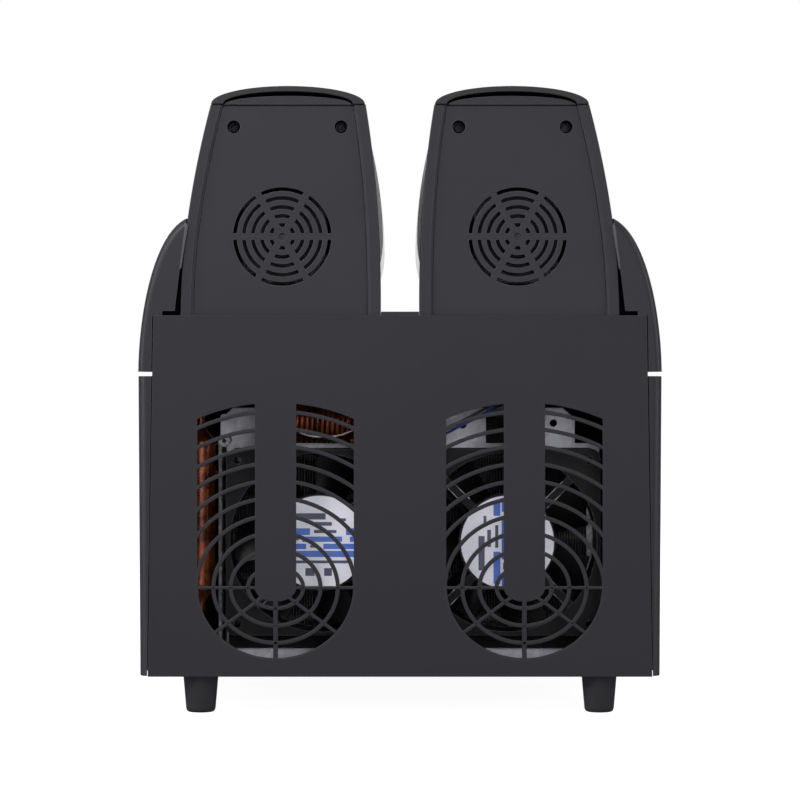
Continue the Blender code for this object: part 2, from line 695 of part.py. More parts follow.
def make_lever(side, x):
    """A fork round the plunger's head, a cross pin and a handle that is pressed down."""
    pin = cylinder((x - 0.0128, PIVOT_Y, PIVOT_Z), (x + 0.0128, PIVOT_Y, PIVOT_Z), PIVOT_RADIUS, 10)
    lever = add_part(f"tap_lever_{side}", pin, black_plastic, origin=(x, PIVOT_Y, PIVOT_Z), smooth=35)
    fork = [(-0.1340, 0.3035), (-0.1340, 0.3075), (-0.1570, 0.3105), (-0.1640, 0.3110), (-0.1640, 0.3035),
            (-0.1570, 0.3015)]
    for arm in (-1, 1):
        low, high = sorted((x + arm * 0.0070, x + arm * 0.0096))
        join(lever, flat_solid([fork], "side", low, high))
    handle = [(-0.1615, 0.3040), (-0.1615, 0.3106), (-0.1700, 0.3128), (-0.1890, 0.3200), (-0.1935, 0.3200),
              (-0.1950, 0.3165), (-0.1760, 0.3080)]
    join(lever, flat_solid([handle], "side", x - 0.0094, x + 0.0094))


def make_spring(side, x):
    turns, per_turn = 5, 8
    low, high = PISTON_TOP + 0.0010, SPRING_TOP - 0.0007
    points = []
    for i in range(turns * per_turn + 1):
        angle = 2 * math.pi * i / per_turn
        height = low + (high - low) * i / (turns * per_turn)
        points.append((x + 0.0065 * math.cos(angle), TAP_Y + 0.0065 * math.sin(angle), height))
    add_part(f"tap_spring_{side}", tube(points, 0.0005, 0), steel, smooth=60)


# Controls and drip tray


def make_controls():
    outline = rounded_square((0, 0), 0.024, 0.005, 3)
    stretched = [(u + math.copysign(0.078, u), v + CONTROL_Z) for u, v in outline]
    low, high = CONTROL_Z - WINDOW_HALF[1], CONTROL_Z + WINDOW_HALF[1]
    windows = [rectangle((x - WINDOW_HALF[0], low), (x + WINDOW_HALF[0], high)) for x in rocker_places()]
    plate = flat_solid([stretched] + windows, "rear", FRONT_PANEL_Y - 0.0033, FRONT_PANEL_Y - GAP)
    add_part("control_panel", plate, gloss_plastic)
    for name, x in zip(("power", "left", "right"), rocker_places()):
        make_rocker(name, x)
    board = add_part("control_board", box((-0.060, -0.0800, 0.166), (0.060, -0.0784, 0.214)), board_green)
    for x, half, height in ((-0.040, 0.010, 0.016), (-0.005, 0.014, 0.020), (0.036, 0.008, 0.012)):
        join(board, box((x - half, -0.0788, 0.180), (x + half, -0.0784 + height, 0.204)))


def rocker_places():
    return (0, -ROCKER_SPACING, ROCKER_SPACING)


def make_rocker(name, x):
    """A rocker with a shallow V face, resting tilted when it is the power switch."""
    y, z = ROCKER_PIVOT_Y, CONTROL_Z
    face = [(y + 0.004, z - 0.004), (y - 0.002, z - 0.0092), (y - 0.0062, z - 0.0092), (y - 0.0050, z),
            (y - 0.0062, z + 0.0092), (y - 0.002, z + 0.0092), (y + 0.004, z + 0.004)]
    mesh = flat_solid([face], "side", x - 0.0063, x + 0.0063)
    if name == "power":
        here = Matrix.Translation((x, y, z))
        mesh.transform(here @ Matrix.Rotation(POWER_TILT, 4, "X") @ here.inverted())
    add_part(f"rocker_{name}", mesh, rocker_plastic, origin=(x, y, z))


def make_tray():
    tray = add_part("drip_tray", box((-TRAY_HALF, FRONT_Y, BASE_TOP + GAP), (TRAY_HALF, TRAY_REAR, TRAY_TOP)),
                    black_plastic)
    cut(tray, box((-TRAY_HALF + 0.0025, FRONT_Y + 0.003, BASE_TOP + 0.003),
                  (TRAY_HALF - 0.0025, TRAY_REAR - 0.0025, TRAY_TOP + 0.01)))
    outline = rectangle((-TRAY_HALF + 0.001, FRONT_Y + 0.0015), (TRAY_HALF - 0.001, TRAY_REAR - 0.001))
    slots = []
    for row in (0, 1):
        low = FRONT_Y + 0.012 + row * 0.048
        for i in range(15):
            x = (i - 7) * 0.0205
            slots.append(rectangle((x - 0.0055, low), (x + 0.0055, low + 0.040)))
    add_part("drip_grid", flat_solid([outline] + slots, "plan", TRAY_TOP + GAP, TRAY_TOP + 0.0028), steel)


# Cooling


def make_fan(side, x):
    low, high = FAN_FRONT, FAN_FRONT + FAN_DEPTH
    loops = [rounded_square((x, FAN_Z), FAN_HALF, 0.006, 3), oval((x, FAN_Z), FAN_OPENING, FAN_OPENING, 32)]
    for u in (-1, 1):
        loops += [oval((x + u * 0.0525, FAN_Z + v * 0.0525), 0.0022, 0.0022, 8) for v in (-1, 1)]
    frame = add_part(f"fan_frame_{side}", flat_solid(loops, "rear", low, high), fan_metal, smooth=35)
    strut = 0.0030
    for angle in (45, 135):
        bar = box((-0.0590, high - 0.006, -strut), (0.0590, high - 0.001, strut))
        bar.transform(Matrix.Translation((x, 0, FAN_Z)) @ Matrix.Rotation(math.radians(angle), 4, "Y"))
        join(frame, bar)
    join(frame, cylinder((x, high - 0.007, FAN_Z), (x, high, FAN_Z), HUB_RADIUS, 24))
    join(frame, cylinder((x, low + 0.012, FAN_Z), (x, high - 0.004, FAN_Z), 0.003, 12))
    make_fan_rotor(side, x)


def make_fan_rotor(side, x):
    front, rear = FAN_FRONT + 0.002, FAN_FRONT + FAN_DEPTH - 0.008
    hub = cylinder((x, front, FAN_Z), (x, rear, FAN_Z), 0.030, 24)
    rotor = add_part(f"fan_rotor_{side}", hub, fan_plastic, origin=(x, (front + rear) / 2, FAN_Z), smooth=35)
    middle = (front + rear) / 2
    for i in range(BLADES):
        blade = box((0.0270, -0.0008, -0.0160), (0.0545, 0.0008, 0.0160))
        pitch = Matrix.Rotation(math.radians(-38), 4, "X")
        turn = Matrix.Rotation(2 * math.pi * i / BLADES, 4, "Y")
        blade.transform(Matrix.Translation((x, middle, FAN_Z)) @ turn @ pitch)
        join(rotor, blade)
    cut(rotor, cylinder((x, front + 0.008, FAN_Z), (x, rear + 0.01, FAN_Z), 0.0033, 12))


def make_shroud():
    """The galvanised sheet that the fans are fixed to, with three tabs above them."""
    right, left, top = 0.1130, -0.1300, 0.1690
    loop = [(left, 0.030), (right, 0.030), (right, 0.1920), (0.0890, 0.1920), (0.0890, top), (-0.0260, top),
            (-0.0260, 0.1920), (-0.0560, 0.1920), (-0.0560, top), (-0.0900, top), (-0.0900, 0.1920),
            (-0.1060, 0.1920), (-0.1140, 0.1850), (-0.1140, top), (left, top)]
    rings = [oval((x, FAN_Z), FAN_OPENING, FAN_OPENING, 28) for x in FAN_X]
    sheet = flat_solid([loop] + rings, "rear", FAN_FRONT - 0.0018, FAN_FRONT - GAP)
    add_part("fan_shroud", sheet, galvanised)


def make_condenser():
    rear = FAN_FRONT - 0.0021
    core = box((-0.1250, 0.1000, 0.0360), (0.1170, rear - 0.001, 0.1660))
    condenser = add_part("condenser", core, aluminium)
    for low in (-0.1275, 0.1160):
        join(condenser, box((low, 0.0960, 0.0330), (low + 0.0025, rear, 0.1690)))


def make_compressor():
    center = Matrix.Translation((-0.055, 0.010, 0))
    profile = [(0, 0.186), (0.028, 0.184), (0.043, 0.175), (0.050, 0.158), (0.052, 0.112), (0.0555, 0.110),
               (0.0555, 0.106), (0.052, 0.104), (0.051, 0.060), (0.045, 0.040), (0.030, 0.029), (0, 0.029)]
    compressor = add_part("compressor", turned(profile, center, 24), compressor_black, smooth=40)
    join(compressor, box((-0.120, -0.035, BASE_TOP + GAP), (0.010, 0.055, 0.031)))


def make_pipes():
    drier = [(0, 0.1880), (0.0028, 0.1880), (0.0028, 0.1800), (0.0060, 0.1755), (0.0095, 0.1710),
             (0.0095, 0.0780), (0.0060, 0.0715), (0.0030, 0.0665), (0.0030, 0.0600), (0, 0.0600)]
    add_part("filter_drier", turned(drier, Matrix.Translation((0.1285, 0.165, 0)), 14), copper, smooth=40)
    add_part("capillary_coil", tube(coil_points(), 0.00125, 0), copper, smooth=60)
    discharge = [(-0.0025, 0.010, 0.140), (0.030, 0.012, 0.142), (0.070, 0.040, 0.165), (0.115, 0.060, 0.172),
                 (0.137, 0.090, 0.160), (0.137, 0.112, 0.150), (0.1188, 0.115, 0.150)]
    add_part("discharge_line", tube(smooth_path(discharge, 3), 0.003, 1), copper, smooth=60)
    suction = [(-0.055, 0.010, 0.1866), (-0.055, 0.011, 0.198), (-0.058, 0.030, 0.210),
               (-0.070, 0.075, 0.213), (-0.0748, 0.100, 0.222), (-0.0748, 0.1002, 0.2325)]
    add_part("suction_line", tube(smooth_path(suction, 3), 0.004, 1), copper, smooth=60)
    wire = [(-0.018, 0.165, 0.1685), (-0.030, 0.172, 0.176), (-0.045, 0.176, 0.184), (-0.060, 0.172, 0.192),
            (-0.078, 0.150, 0.202), (-0.100, 0.110, 0.212), (-0.105, 0.040, 0.214), (-0.080, -0.045, 0.212),
            (-0.056, -0.072, 0.209), (-0.055, -0.0777, 0.209)]
    add_part("fan_wires", tube(smooth_path(wire, 3), 0.0015, 0), wire_blue, smooth=60)


def coil_points():
    """The thin tube's turns, wound along X above the right fan."""
    turns, per_turn = 11, 10
    points = []
    for i in range(turns * per_turn + 1):
        angle = 2 * math.pi * i / per_turn
        x = 0.0310 + 0.0360 * i / (turns * per_turn)
        points.append((x, 0.158 + 0.0125 * math.cos(angle), 0.1835 + 0.0125 * math.sin(angle)))
    return points


clear_scene()
parts = make_collection("frozen_drink_machine")
cutters = make_collection("cutters")

black_plastic = make_material("black_plastic", (0.035, 0.034, 0.038), 0.42)
black_metal = make_material("black_metal", (0.037, 0.036, 0.041), 0.48, 0.0)
gloss_plastic = make_material("gloss_plastic", (0.012, 0.012, 0.014), 0.12)
rocker_plastic = make_material("rocker_plastic", (0.02, 0.02, 0.022), 0.35)
white_plastic = make_material("white_plastic", (0.80, 0.80, 0.78), 0.35)
clear_plastic = make_material("clear_plastic", (0.85, 0.88, 0.90), 0.05, alpha=0.3)
rubber = make_material("rubber", (0.018, 0.018, 0.02), 0.7)
seal_rubber = make_material("seal_rubber", (0.55, 0.55, 0.53), 0.6)
steel = make_material("steel", (0.62, 0.62, 0.63), 0.28, 1.0)
galvanised = make_material("galvanised", (0.58, 0.59, 0.61), 0.45, 0.9)
aluminium = make_material("aluminium", (0.60, 0.61, 0.62), 0.40, 0.9)
copper = make_material("copper", (0.55, 0.20, 0.09), 0.35, 0.9)
motor_metal = make_material("motor_metal", (0.45, 0.45, 0.46), 0.4, 0.8)
compressor_black = make_material("compressor_black", (0.02, 0.02, 0.02), 0.35)
fan_metal = make_material("fan_metal", (0.03, 0.03, 0.032), 0.4)
fan_plastic = make_material("fan_plastic", (0.025, 0.025, 0.028), 0.45)
board_green = make_material("board_green", (0.03, 0.18, 0.07), 0.4)
wire_blue = make_material("wire_blue", (0.03, 0.08, 0.35), 0.4)

make_base()
make_rear_panel()
make_deck()
make_front_panel()
make_controls()
make_tray()
for side, sign in SIDES:
    make_side_panel(side, sign)
    make_shoulder(side, sign)
    make_tower(side, sign)
    make_drive(side, sign)
    make_bowl(side, sign)
    make_tap(side, sign)
for (side, _), fan_x in zip(SIDES, FAN_X):
    make_fan(side, fan_x)
make_shroud()
make_condenser()
make_compressor()
make_pipes()
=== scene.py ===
import json
import math

import bmesh
import bpy
from mathutils import Matrix, Vector

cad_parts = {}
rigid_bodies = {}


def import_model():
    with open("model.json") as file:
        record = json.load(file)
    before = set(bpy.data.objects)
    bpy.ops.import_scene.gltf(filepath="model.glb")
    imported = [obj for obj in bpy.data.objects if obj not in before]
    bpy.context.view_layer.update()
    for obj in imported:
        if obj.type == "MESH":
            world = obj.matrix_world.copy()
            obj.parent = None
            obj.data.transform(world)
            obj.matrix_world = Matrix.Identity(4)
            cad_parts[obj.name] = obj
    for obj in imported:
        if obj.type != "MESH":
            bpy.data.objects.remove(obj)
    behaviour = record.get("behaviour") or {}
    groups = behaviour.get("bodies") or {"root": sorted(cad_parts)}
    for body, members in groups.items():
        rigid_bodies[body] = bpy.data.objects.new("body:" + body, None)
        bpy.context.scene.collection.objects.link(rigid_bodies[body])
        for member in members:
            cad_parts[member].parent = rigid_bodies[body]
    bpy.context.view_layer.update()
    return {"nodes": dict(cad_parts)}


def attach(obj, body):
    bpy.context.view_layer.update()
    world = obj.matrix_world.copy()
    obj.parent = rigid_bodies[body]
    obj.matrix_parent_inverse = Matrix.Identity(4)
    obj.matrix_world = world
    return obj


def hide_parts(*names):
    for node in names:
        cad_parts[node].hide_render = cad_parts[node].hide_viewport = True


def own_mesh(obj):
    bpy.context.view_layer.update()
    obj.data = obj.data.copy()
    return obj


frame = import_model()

print("frame loaded:", len(frame["nodes"]), "nodes")

scene = bpy.context.scene
for startupObject in [o for o in bpy.data.objects if o.name in ("Cube", "Light", "Camera")]:
    bpy.data.objects.remove(startupObject, do_unlink=True)

# Left and right are as seen from the front, so left is -X.
sides = (("left", -1), ("right", 1))
planes = {
    "plan": Matrix.Identity(4),
    "rear": Matrix.Rotation(math.pi / 2, 4, "X"),
    "side": Matrix(((0, 0, 1, 0), (1, 0, 0, 0), (0, 1, 0, 0), (0, 0, 0, 1))),
}
across = {"plan": Vector((0, 0, 1)), "rear": Vector((0, 1, 0)), "side": Vector((1, 0, 0))}


# Outlines, as lists of (u, v) points

def arc(center, radiusU, radiusV, start, end, steps):
    points = []
    for i in range(steps + 1):
        angle = math.radians(start + (end - start) * i / steps)
        points.append((center[0] + radiusU * math.cos(angle), center[1] + radiusV * math.sin(angle)))
    return points


def circle(center, radius, steps):
    return arc(center, radius, radius, 0, 360, steps)[:-1]


def rectangle(low, high, radius=0.0, steps=4):
    if not radius:
        return [(low[0], low[1]), (high[0], low[1]), (high[0], high[1]), (low[0], high[1])]
    middle = ((low[0] + high[0]) / 2, (low[1] + high[1]) / 2)
    half = ((high[0] - low[0]) / 2 - radius, (high[1] - low[1]) / 2 - radius)
    points = []
    for corner, (su, sv) in enumerate(((1, 1), (-1, 1), (-1, -1), (1, -1))):
        place = (middle[0] + su * half[0], middle[1] + sv * half[1])
        points += arc(place, radius, radius, 90 * corner, 90 * corner + 90, steps)
    return points


def bezier(p0, p1, p2, p3, steps):
    points = []
    for i in range(steps + 1):
        t = i / steps
        s = 1 - t
        weights = (s ** 3, 3 * s * s * t, 3 * s * t * t, t ** 3)
        points.append(tuple(sum(w * p[k] for w, p in zip(weights, (p0, p1, p2, p3))) for k in (0, 1)))
    return points


def offsetLine(points, distance):
    # an open line moved to the left of its direction of travel
    moved = []
    for i, (u, v) in enumerate(points):
        before, after = points[max(i - 1, 0)], points[min(i + 1, len(points) - 1)]
        along = Vector((after[0] - before[0], after[1] - before[1])).normalized()
        moved.append((u - along.y * distance, v + along.x * distance))
    return moved


def mirrored(loop, sign):
    return [(sign * u, v) for u, v in loop]


# Solids, as meshes in the frame's own coordinates

def clean(mesh):
    work = bmesh.new()
    work.from_mesh(mesh)
    bmesh.ops.remove_doubles(work, verts=work.verts, dist=0.000002)
    bmesh.ops.recalc_face_normals(work, faces=work.faces)
    return finished(work, mesh)


def finished(work, mesh=None):
    mesh = mesh or bpy.data.meshes.new("solid")
    work.to_mesh(mesh)
    work.free()
    return mesh


def evaluated(obj, *helpers):
    # the finished mesh of a helper object, which is then removed
    for one in (obj, *helpers):
        scene.collection.objects.link(one)
    bpy.context.view_layer.update()
    mesh = bpy.data.meshes.new_from_object(obj.evaluated_get(bpy.context.evaluated_depsgraph_get()))
    for one in (obj, *helpers):
        bpy.data.objects.remove(one, do_unlink=True)
    return mesh


def flatSolid(loops, plane, low, high, edge=0.0, edgeSteps=1):
    # an outline with holes, thick from low to high across its plane, its edges rounded by edge
    curve = bpy.data.curves.new("outline", "CURVE")
    curve.dimensions = "2D"
    curve.fill_mode = "BOTH"
    curve.extrude = (high - low) / 2 - edge
    curve.bevel_depth = edge
    curve.bevel_resolution = edgeSteps
    curve.offset = -edge
    for loop in loops:
        spline = curve.splines.new("POLY")
        spline.points.add(len(loop) - 1)
        for point, (u, v) in zip(spline.points, loop):
            point.co = (u, v, 0, 1)
        spline.use_cyclic_u = True
    mesh = clean(evaluated(bpy.data.objects.new("outline", curve)))
    mesh.transform(Matrix.Translation(across[plane] * (low + high) / 2) @ planes[plane])
    return mesh


def block(low, high, edge=0.0006, plane="plan", corner=0.0):
    # a box with rounded edges
    axes = {"plan": (0, 1, 2), "rear": (0, 2, 1), "side": (1, 2, 0)}[plane]
    low, high = Vector(low), Vector(high)
    outline = rectangle((low[axes[0]], low[axes[1]]), (high[axes[0]], high[axes[1]]), corner or edge * 1.5, 4)
    return flatSolid([outline], plane, low[axes[2]], high[axes[2]], edge)


def rod(start, end, radius, steps=32, edge=0.0):
    # a round bar with softened ends
    start, end = Vector(start), Vector(end)
    length = (end - start).length
    profile = [(0, 0), (radius, 0), (radius, length), (0, length)]
    if edge:
        profile[1:3] = [(radius - edge, 0), (radius, edge), (radius, length - edge), (radius - edge, length)]
    turn = Vector((0, 0, 1)).rotation_difference(end - start).to_matrix().to_4x4()
    return turned(profile, Matrix.Translation(start) @ turn, steps)


def turned(profile, place, steps=32, ring=False):
    # a solid of revolution from (radius, height) pairs
    mesh = bpy.data.meshes.new("profile")
    edges = [(i, i + 1) for i in range(len(profile) - 1)]
    if ring:
        edges.append((len(profile) - 1, 0))
    mesh.from_pydata([(radius, 0, height) for radius, height in profile], edges, [])
    helper = bpy.data.objects.new("profile", mesh)
    screw = helper.modifiers.new("Turn", "SCREW")
    screw.steps = screw.render_steps = steps
    screw.use_merge_vertices = True
    screw.merge_threshold = 0.00001
    result = clean(evaluated(helper))
    result.transform(place)
    return result


def at(x, y, z):
    return Matrix.Translation((x, y, z))


def alongY(x, y, z):
    return at(x, y, z) @ Matrix.Rotation(-math.pi / 2, 4, "X")


def spun(x, z, degrees):
    return at(x, 0, z) @ Matrix.Rotation(math.radians(degrees), 4, "Y")


def tube(points, radius, resolution=3):
    curve = bpy.data.curves.new("tube", "CURVE")
    curve.dimensions = "3D"
    curve.bevel_depth = radius
    curve.bevel_resolution = resolution
    curve.use_fill_caps = True
    spline = curve.splines.new("POLY")
    spline.points.add(len(points) - 1)
    for point, place in zip(spline.points, points):
        point.co = (*place, 1)
    return clean(evaluated(bpy.data.objects.new("tube", curve)))


def smoothPath(corners, steps):
    ends = [corners[0]] + list(corners) + [corners[-1]]
    points = []
    for i in range(1, len(ends) - 2):
        p0, p1, p2, p3 = (Vector(p) for p in ends[i - 1 : i + 3])
        for k in range(steps):
            t = k / steps
            bend = 2 * p0 - 5 * p1 + 4 * p2 - p3
            sweep = 3 * p1 - p0 - 3 * p2 + p3
            points.append((2 * p1 + (p2 - p0) * t + bend * t * t + sweep * t ** 3) / 2)
    points.append(Vector(corners[-1]))
    return points


def boolean(mesh, others, operation):
    obj = bpy.data.objects.new("body", mesh)
    helpers = []
    for other in others:
        helper = bpy.data.objects.new("cutter", other)
        modifier = obj.modifiers.new("Boolean", "BOOLEAN")
        modifier.operation = operation
        modifier.solver = "EXACT"
        modifier.object = helper
        helpers.append(helper)
    return evaluated(obj, *helpers)


def cut(mesh, *others):
    return boolean(mesh, others, "DIFFERENCE")


def fused(mesh, *others):
    return boolean(mesh, others, "UNION")


def gathered(*meshes):
    # several meshes as one, each keeping its own shell
    work = bmesh.new()
    for mesh in meshes:
        work.from_mesh(mesh)
    return finished(work)


def placed(mesh, matrix):
    mesh = mesh.copy()
    mesh.transform(matrix)
    return mesh


# Node trees

def put(tree, kind, inputs=None, **settings):
    # an input can be a value, a socket or a node, whose first output is then used
    node = tree.nodes.new(kind)
    for key, value in settings.items():
        setattr(node, key, value)
    for key, value in (inputs or {}).items():
        value = value.outputs[0] if isinstance(value, bpy.types.Node) else value
        if isinstance(value, bpy.types.NodeSocket):
            tree.links.new(value, node.inputs[key])
        else:
            node.inputs[key].default_value = value
    return node


def maths(tree, operation, first, second=0.0):
    return put(tree, "ShaderNodeMath", {0: first, 1: second}, operation=operation).outputs[0]


def ranged(tree, value, low=0.0, high=1.0, outLow=0.0, outHigh=1.0):
    return put(tree, "ShaderNodeMapRange", {0: value, 1: low, 2: high, 3: outLow, 4: outHigh}).outputs[0]


def newTree(name, kind, inputs, outputs):
    tree = bpy.data.node_groups.new(name, kind)
    for label, socketKind, value in inputs:
        socket = tree.interface.new_socket(label, in_out="INPUT", socket_type="NodeSocket" + socketKind)
        if value is not None:
            socket.default_value = value
    for label, socketKind in outputs:
        tree.interface.new_socket(label, in_out="OUTPUT", socket_type="NodeSocket" + socketKind)
    return tree, tree.nodes.new("NodeGroupInput").outputs, tree.nodes.new("NodeGroupOutput").inputs


def closeTree(tree, geometry, given, result):
    # every tree ends in real geometry with its material set
    real = put(tree, "GeometryNodeRealizeInstances", {0: geometry})
    painted = put(tree, "GeometryNodeSetMaterial", {0: real, "Material": given["Material"]})
    tree.links.new(painted.outputs[0], result["Geometry"])


def runTree(tree, values, start=None):
    # the plain mesh that a Geometry Nodes tree makes from start
    helper = bpy.data.objects.new("helper", start or bpy.data.meshes.new("start"))
    modifier = helper.modifiers.new("Nodes", "NODES")
    modifier.node_group = tree
    for item in tree.interface.items_tree:
        if item.item_type == "SOCKET" and item.in_out == "INPUT" and item.name in values:
            modifier[item.identifier] = values[item.name]
    return evaluated(helper)


# Shared shader effects

def coordinates(tree):
    return put(tree, "ShaderNodeTexCoord").outputs["Object"]


def makePattern(name, size, detail, roughness, low, high, stretch=(1.0, 1.0, 1.0), distortion=0.0):
    # noise, as a tone from low to high and as a height
    tree, given, result = newTree(name, "ShaderNodeTree", [
        ("Size", "Float", size), ("Stretch", "Vector", stretch), ("Low", "Float", low), ("High", "Float", high),
    ], [("Tone", "Float"), ("Height", "Float")])
    lined = put(tree, "ShaderNodeMapping", {"Vector": coordinates(tree), "Scale": given["Stretch"]})
    noise = put(tree, "ShaderNodeTexNoise", {"Vector": lined, "Scale": given["Size"], "Detail": detail,
                                             "Roughness": roughness, "Distortion": distortion})
    tree.links.new(ranged(tree, noise, given["Low"], given["High"]), result["Tone"])
    tree.links.new(noise.outputs[0], result["Height"])
    return tree


def makeSpangle():
    tree, given, result = newTree("zincSpangle", "ShaderNodeTree", [("Size", "Float", 160.0)],
                                  [("Tone", "Float"), ("Height", "Float")])
    bent = put(tree, "ShaderNodeTexNoise", {"Vector": coordinates(tree), "Scale": given["Size"]})
    cells = put(tree, "ShaderNodeTexVoronoi", {"Vector": coordinates(tree), "Scale": given["Size"]})
    grey = put(tree, "ShaderNodeRGBToBW", {0: cells.outputs["Color"]})
    both = maths(tree, "MULTIPLY", maths(tree, "ADD", grey, bent.outputs[0]), 0.5)
    tree.links.new(ranged(tree, both, 0.2, 0.8), result["Tone"])
    tree.links.new(cells.outputs["Distance"], result["Height"])
    return tree


def makeEdgeWearAndHighlight():
    # the rounded normal leaves the true one only beside an edge; the lighter edge colour it drives is wear, and on
    # the fan paint a painted highlight
    tree, given, result = newTree("edgeWearAndHighlight", "ShaderNodeTree", [("Width", "Float", 0.0005), ("Gain", "Float", 4.0)],
                                  [("Mask", "Float")])
    rounded = put(tree, "ShaderNodeBevel", {"Radius": given["Width"]}, samples=2)
    flat = put(tree, "ShaderNodeNewGeometry")
    same = put(tree, "ShaderNodeVectorMath", {0: rounded, 1: flat.outputs["Normal"]}, operation="DOT_PRODUCT")
    off = maths(tree, "MULTIPLY", maths(tree, "SUBTRACT", 1.0, same.outputs["Value"]), given["Gain"])
    tree.links.new(ranged(tree, off, 0.02), result["Mask"])
    return tree


def makeDust():
    # settles on faces that look up
    tree, given, result = newTree("dust", "ShaderNodeTree", [("Size", "Float", 60.0), ("Amount", "Float", 0.2)],
                                  [("Mask", "Float")])
    flat = put(tree, "ShaderNodeNewGeometry")
    up = put(tree, "ShaderNodeSeparateXYZ", {0: flat.outputs["Normal"]}).outputs["Z"]
    facing = ranged(tree, up, 0.3)
    noise = put(tree, "ShaderNodeTexNoise", {"Vector": coordinates(tree), "Scale": given["Size"], "Detail": 6.0})
    mask = maths(tree, "MULTIPLY", maths(tree, "MULTIPLY", facing, noise.outputs[0]), given["Amount"])
    tree.links.new(mask, result["Mask"])
    return tree


effects = {
    "grain": makePattern("fineGrain", 1500.0, 4.0, 0.6, 0.32, 0.68),
    "streaks": makePattern("brushedStreaks", 900.0, 3.0, 0.55, 0.3, 0.7, (0.02, 1.0, 1.0)),
    "blotches": makePattern("blotches", 12.0, 7.0, 0.6, 0.35, 0.65, distortion=0.6),
    "spangle": makeSpangle(), "edge": makeEdgeWearAndHighlight(), "dust": makeDust(),
}


def effect(tree, name, **values):
    node = tree.nodes.new("ShaderNodeGroup")
    node.node_tree = effects[name]
    for key, value in values.items():
        node.inputs[key].default_value = value
    return node


def rgba(color):
    # a number is a grey, and a pair is a grey with a blue of its own
    if isinstance(color, bpy.types.NodeSocket):
        return color
    color = (color, color) if isinstance(color, float) else color
    return (color[0], *color[-2:], 1.0)


def mixColors(tree, factor, first, second):
    return put(tree, "ShaderNodeMix", {0: factor, 6: rgba(first), 7: rgba(second)}, data_type="RGBA").outputs[2]


def makeFinish(name, dark, light, roughness, pattern="grain", size=1500.0, shape=None, metallic=0.0, specular=0.5,
               roughSpread=0.08, relief=0.15, depth=0.0001, blotch=None, edge=None, dust=0.0, coat=0.0):
    # a pattern between two tones, then blotches (size, share, color), worn edges, which on the fan paint are a
    # painted highlight, (width, share, color) and dust
    material = bpy.data.materials.new(name)
    material.use_nodes = True
    tree = material.node_tree
    shader = tree.nodes["Principled BSDF"]
    for label, value in (("Metallic", metallic), ("Specular IOR Level", specular), ("Coat Weight", coat)):
        shader.inputs[label].default_value = value
    base = effect(tree, pattern, Size=size, **(shape or {}))
    color = mixColors(tree, base.outputs["Tone"], dark, light)
    rough = ranged(tree, base.outputs["Tone"], 0.0, 1.0, roughness - roughSpread / 2, roughness + roughSpread / 2)
    if blotch:
        wide = effect(tree, "blotches", Size=blotch[0])
        share = maths(tree, "MULTIPLY", wide.outputs["Tone"], blotch[1])
        color = mixColors(tree, share, color, blotch[2])
        rough = maths(tree, "ADD", rough, maths(tree, "MULTIPLY", share, 0.15))
    if edge:
        wearAndHighlight = effect(tree, "edge", Width=edge[0])
        color = mixColors(tree, maths(tree, "MULTIPLY", wearAndHighlight.outputs["Mask"], edge[1]), color, edge[2])
    if dust:
        color = mixColors(tree, effect(tree, "dust", Amount=dust).outputs["Mask"], color, (0.45, 0.44, 0.42))
    bump = put(tree, "ShaderNodeBump", {"Strength": relief, "Distance": depth, "Height": base.outputs["Height"]})
    tree.links.new(color, shader.inputs["Base Color"])
    tree.links.new(rough, shader.inputs["Roughness"])
    tree.links.new(bump.outputs[0], shader.inputs["Normal"])
    return material


def makeClear(name, color, roughness):
    material = makeFinish(name, color, color, roughness, roughSpread=0.04, relief=0.05,
                          blotch=(30.0, 0.15, tuple(0.93 * c for c in color)))
    tree = material.node_tree
    # the plastic turns more opaque where it is seen edge-on, a painted reflection by the view angle
    edgeOn = put(tree, "ShaderNodeLayerWeight", {"Blend": 0.35}).outputs["Facing"]
    solid = ranged(tree, edgeOn, 0.15, 1.0, 0.09, 0.42)
    tree.links.new(solid, tree.nodes["Principled BSDF"].inputs["Alpha"])
    return material


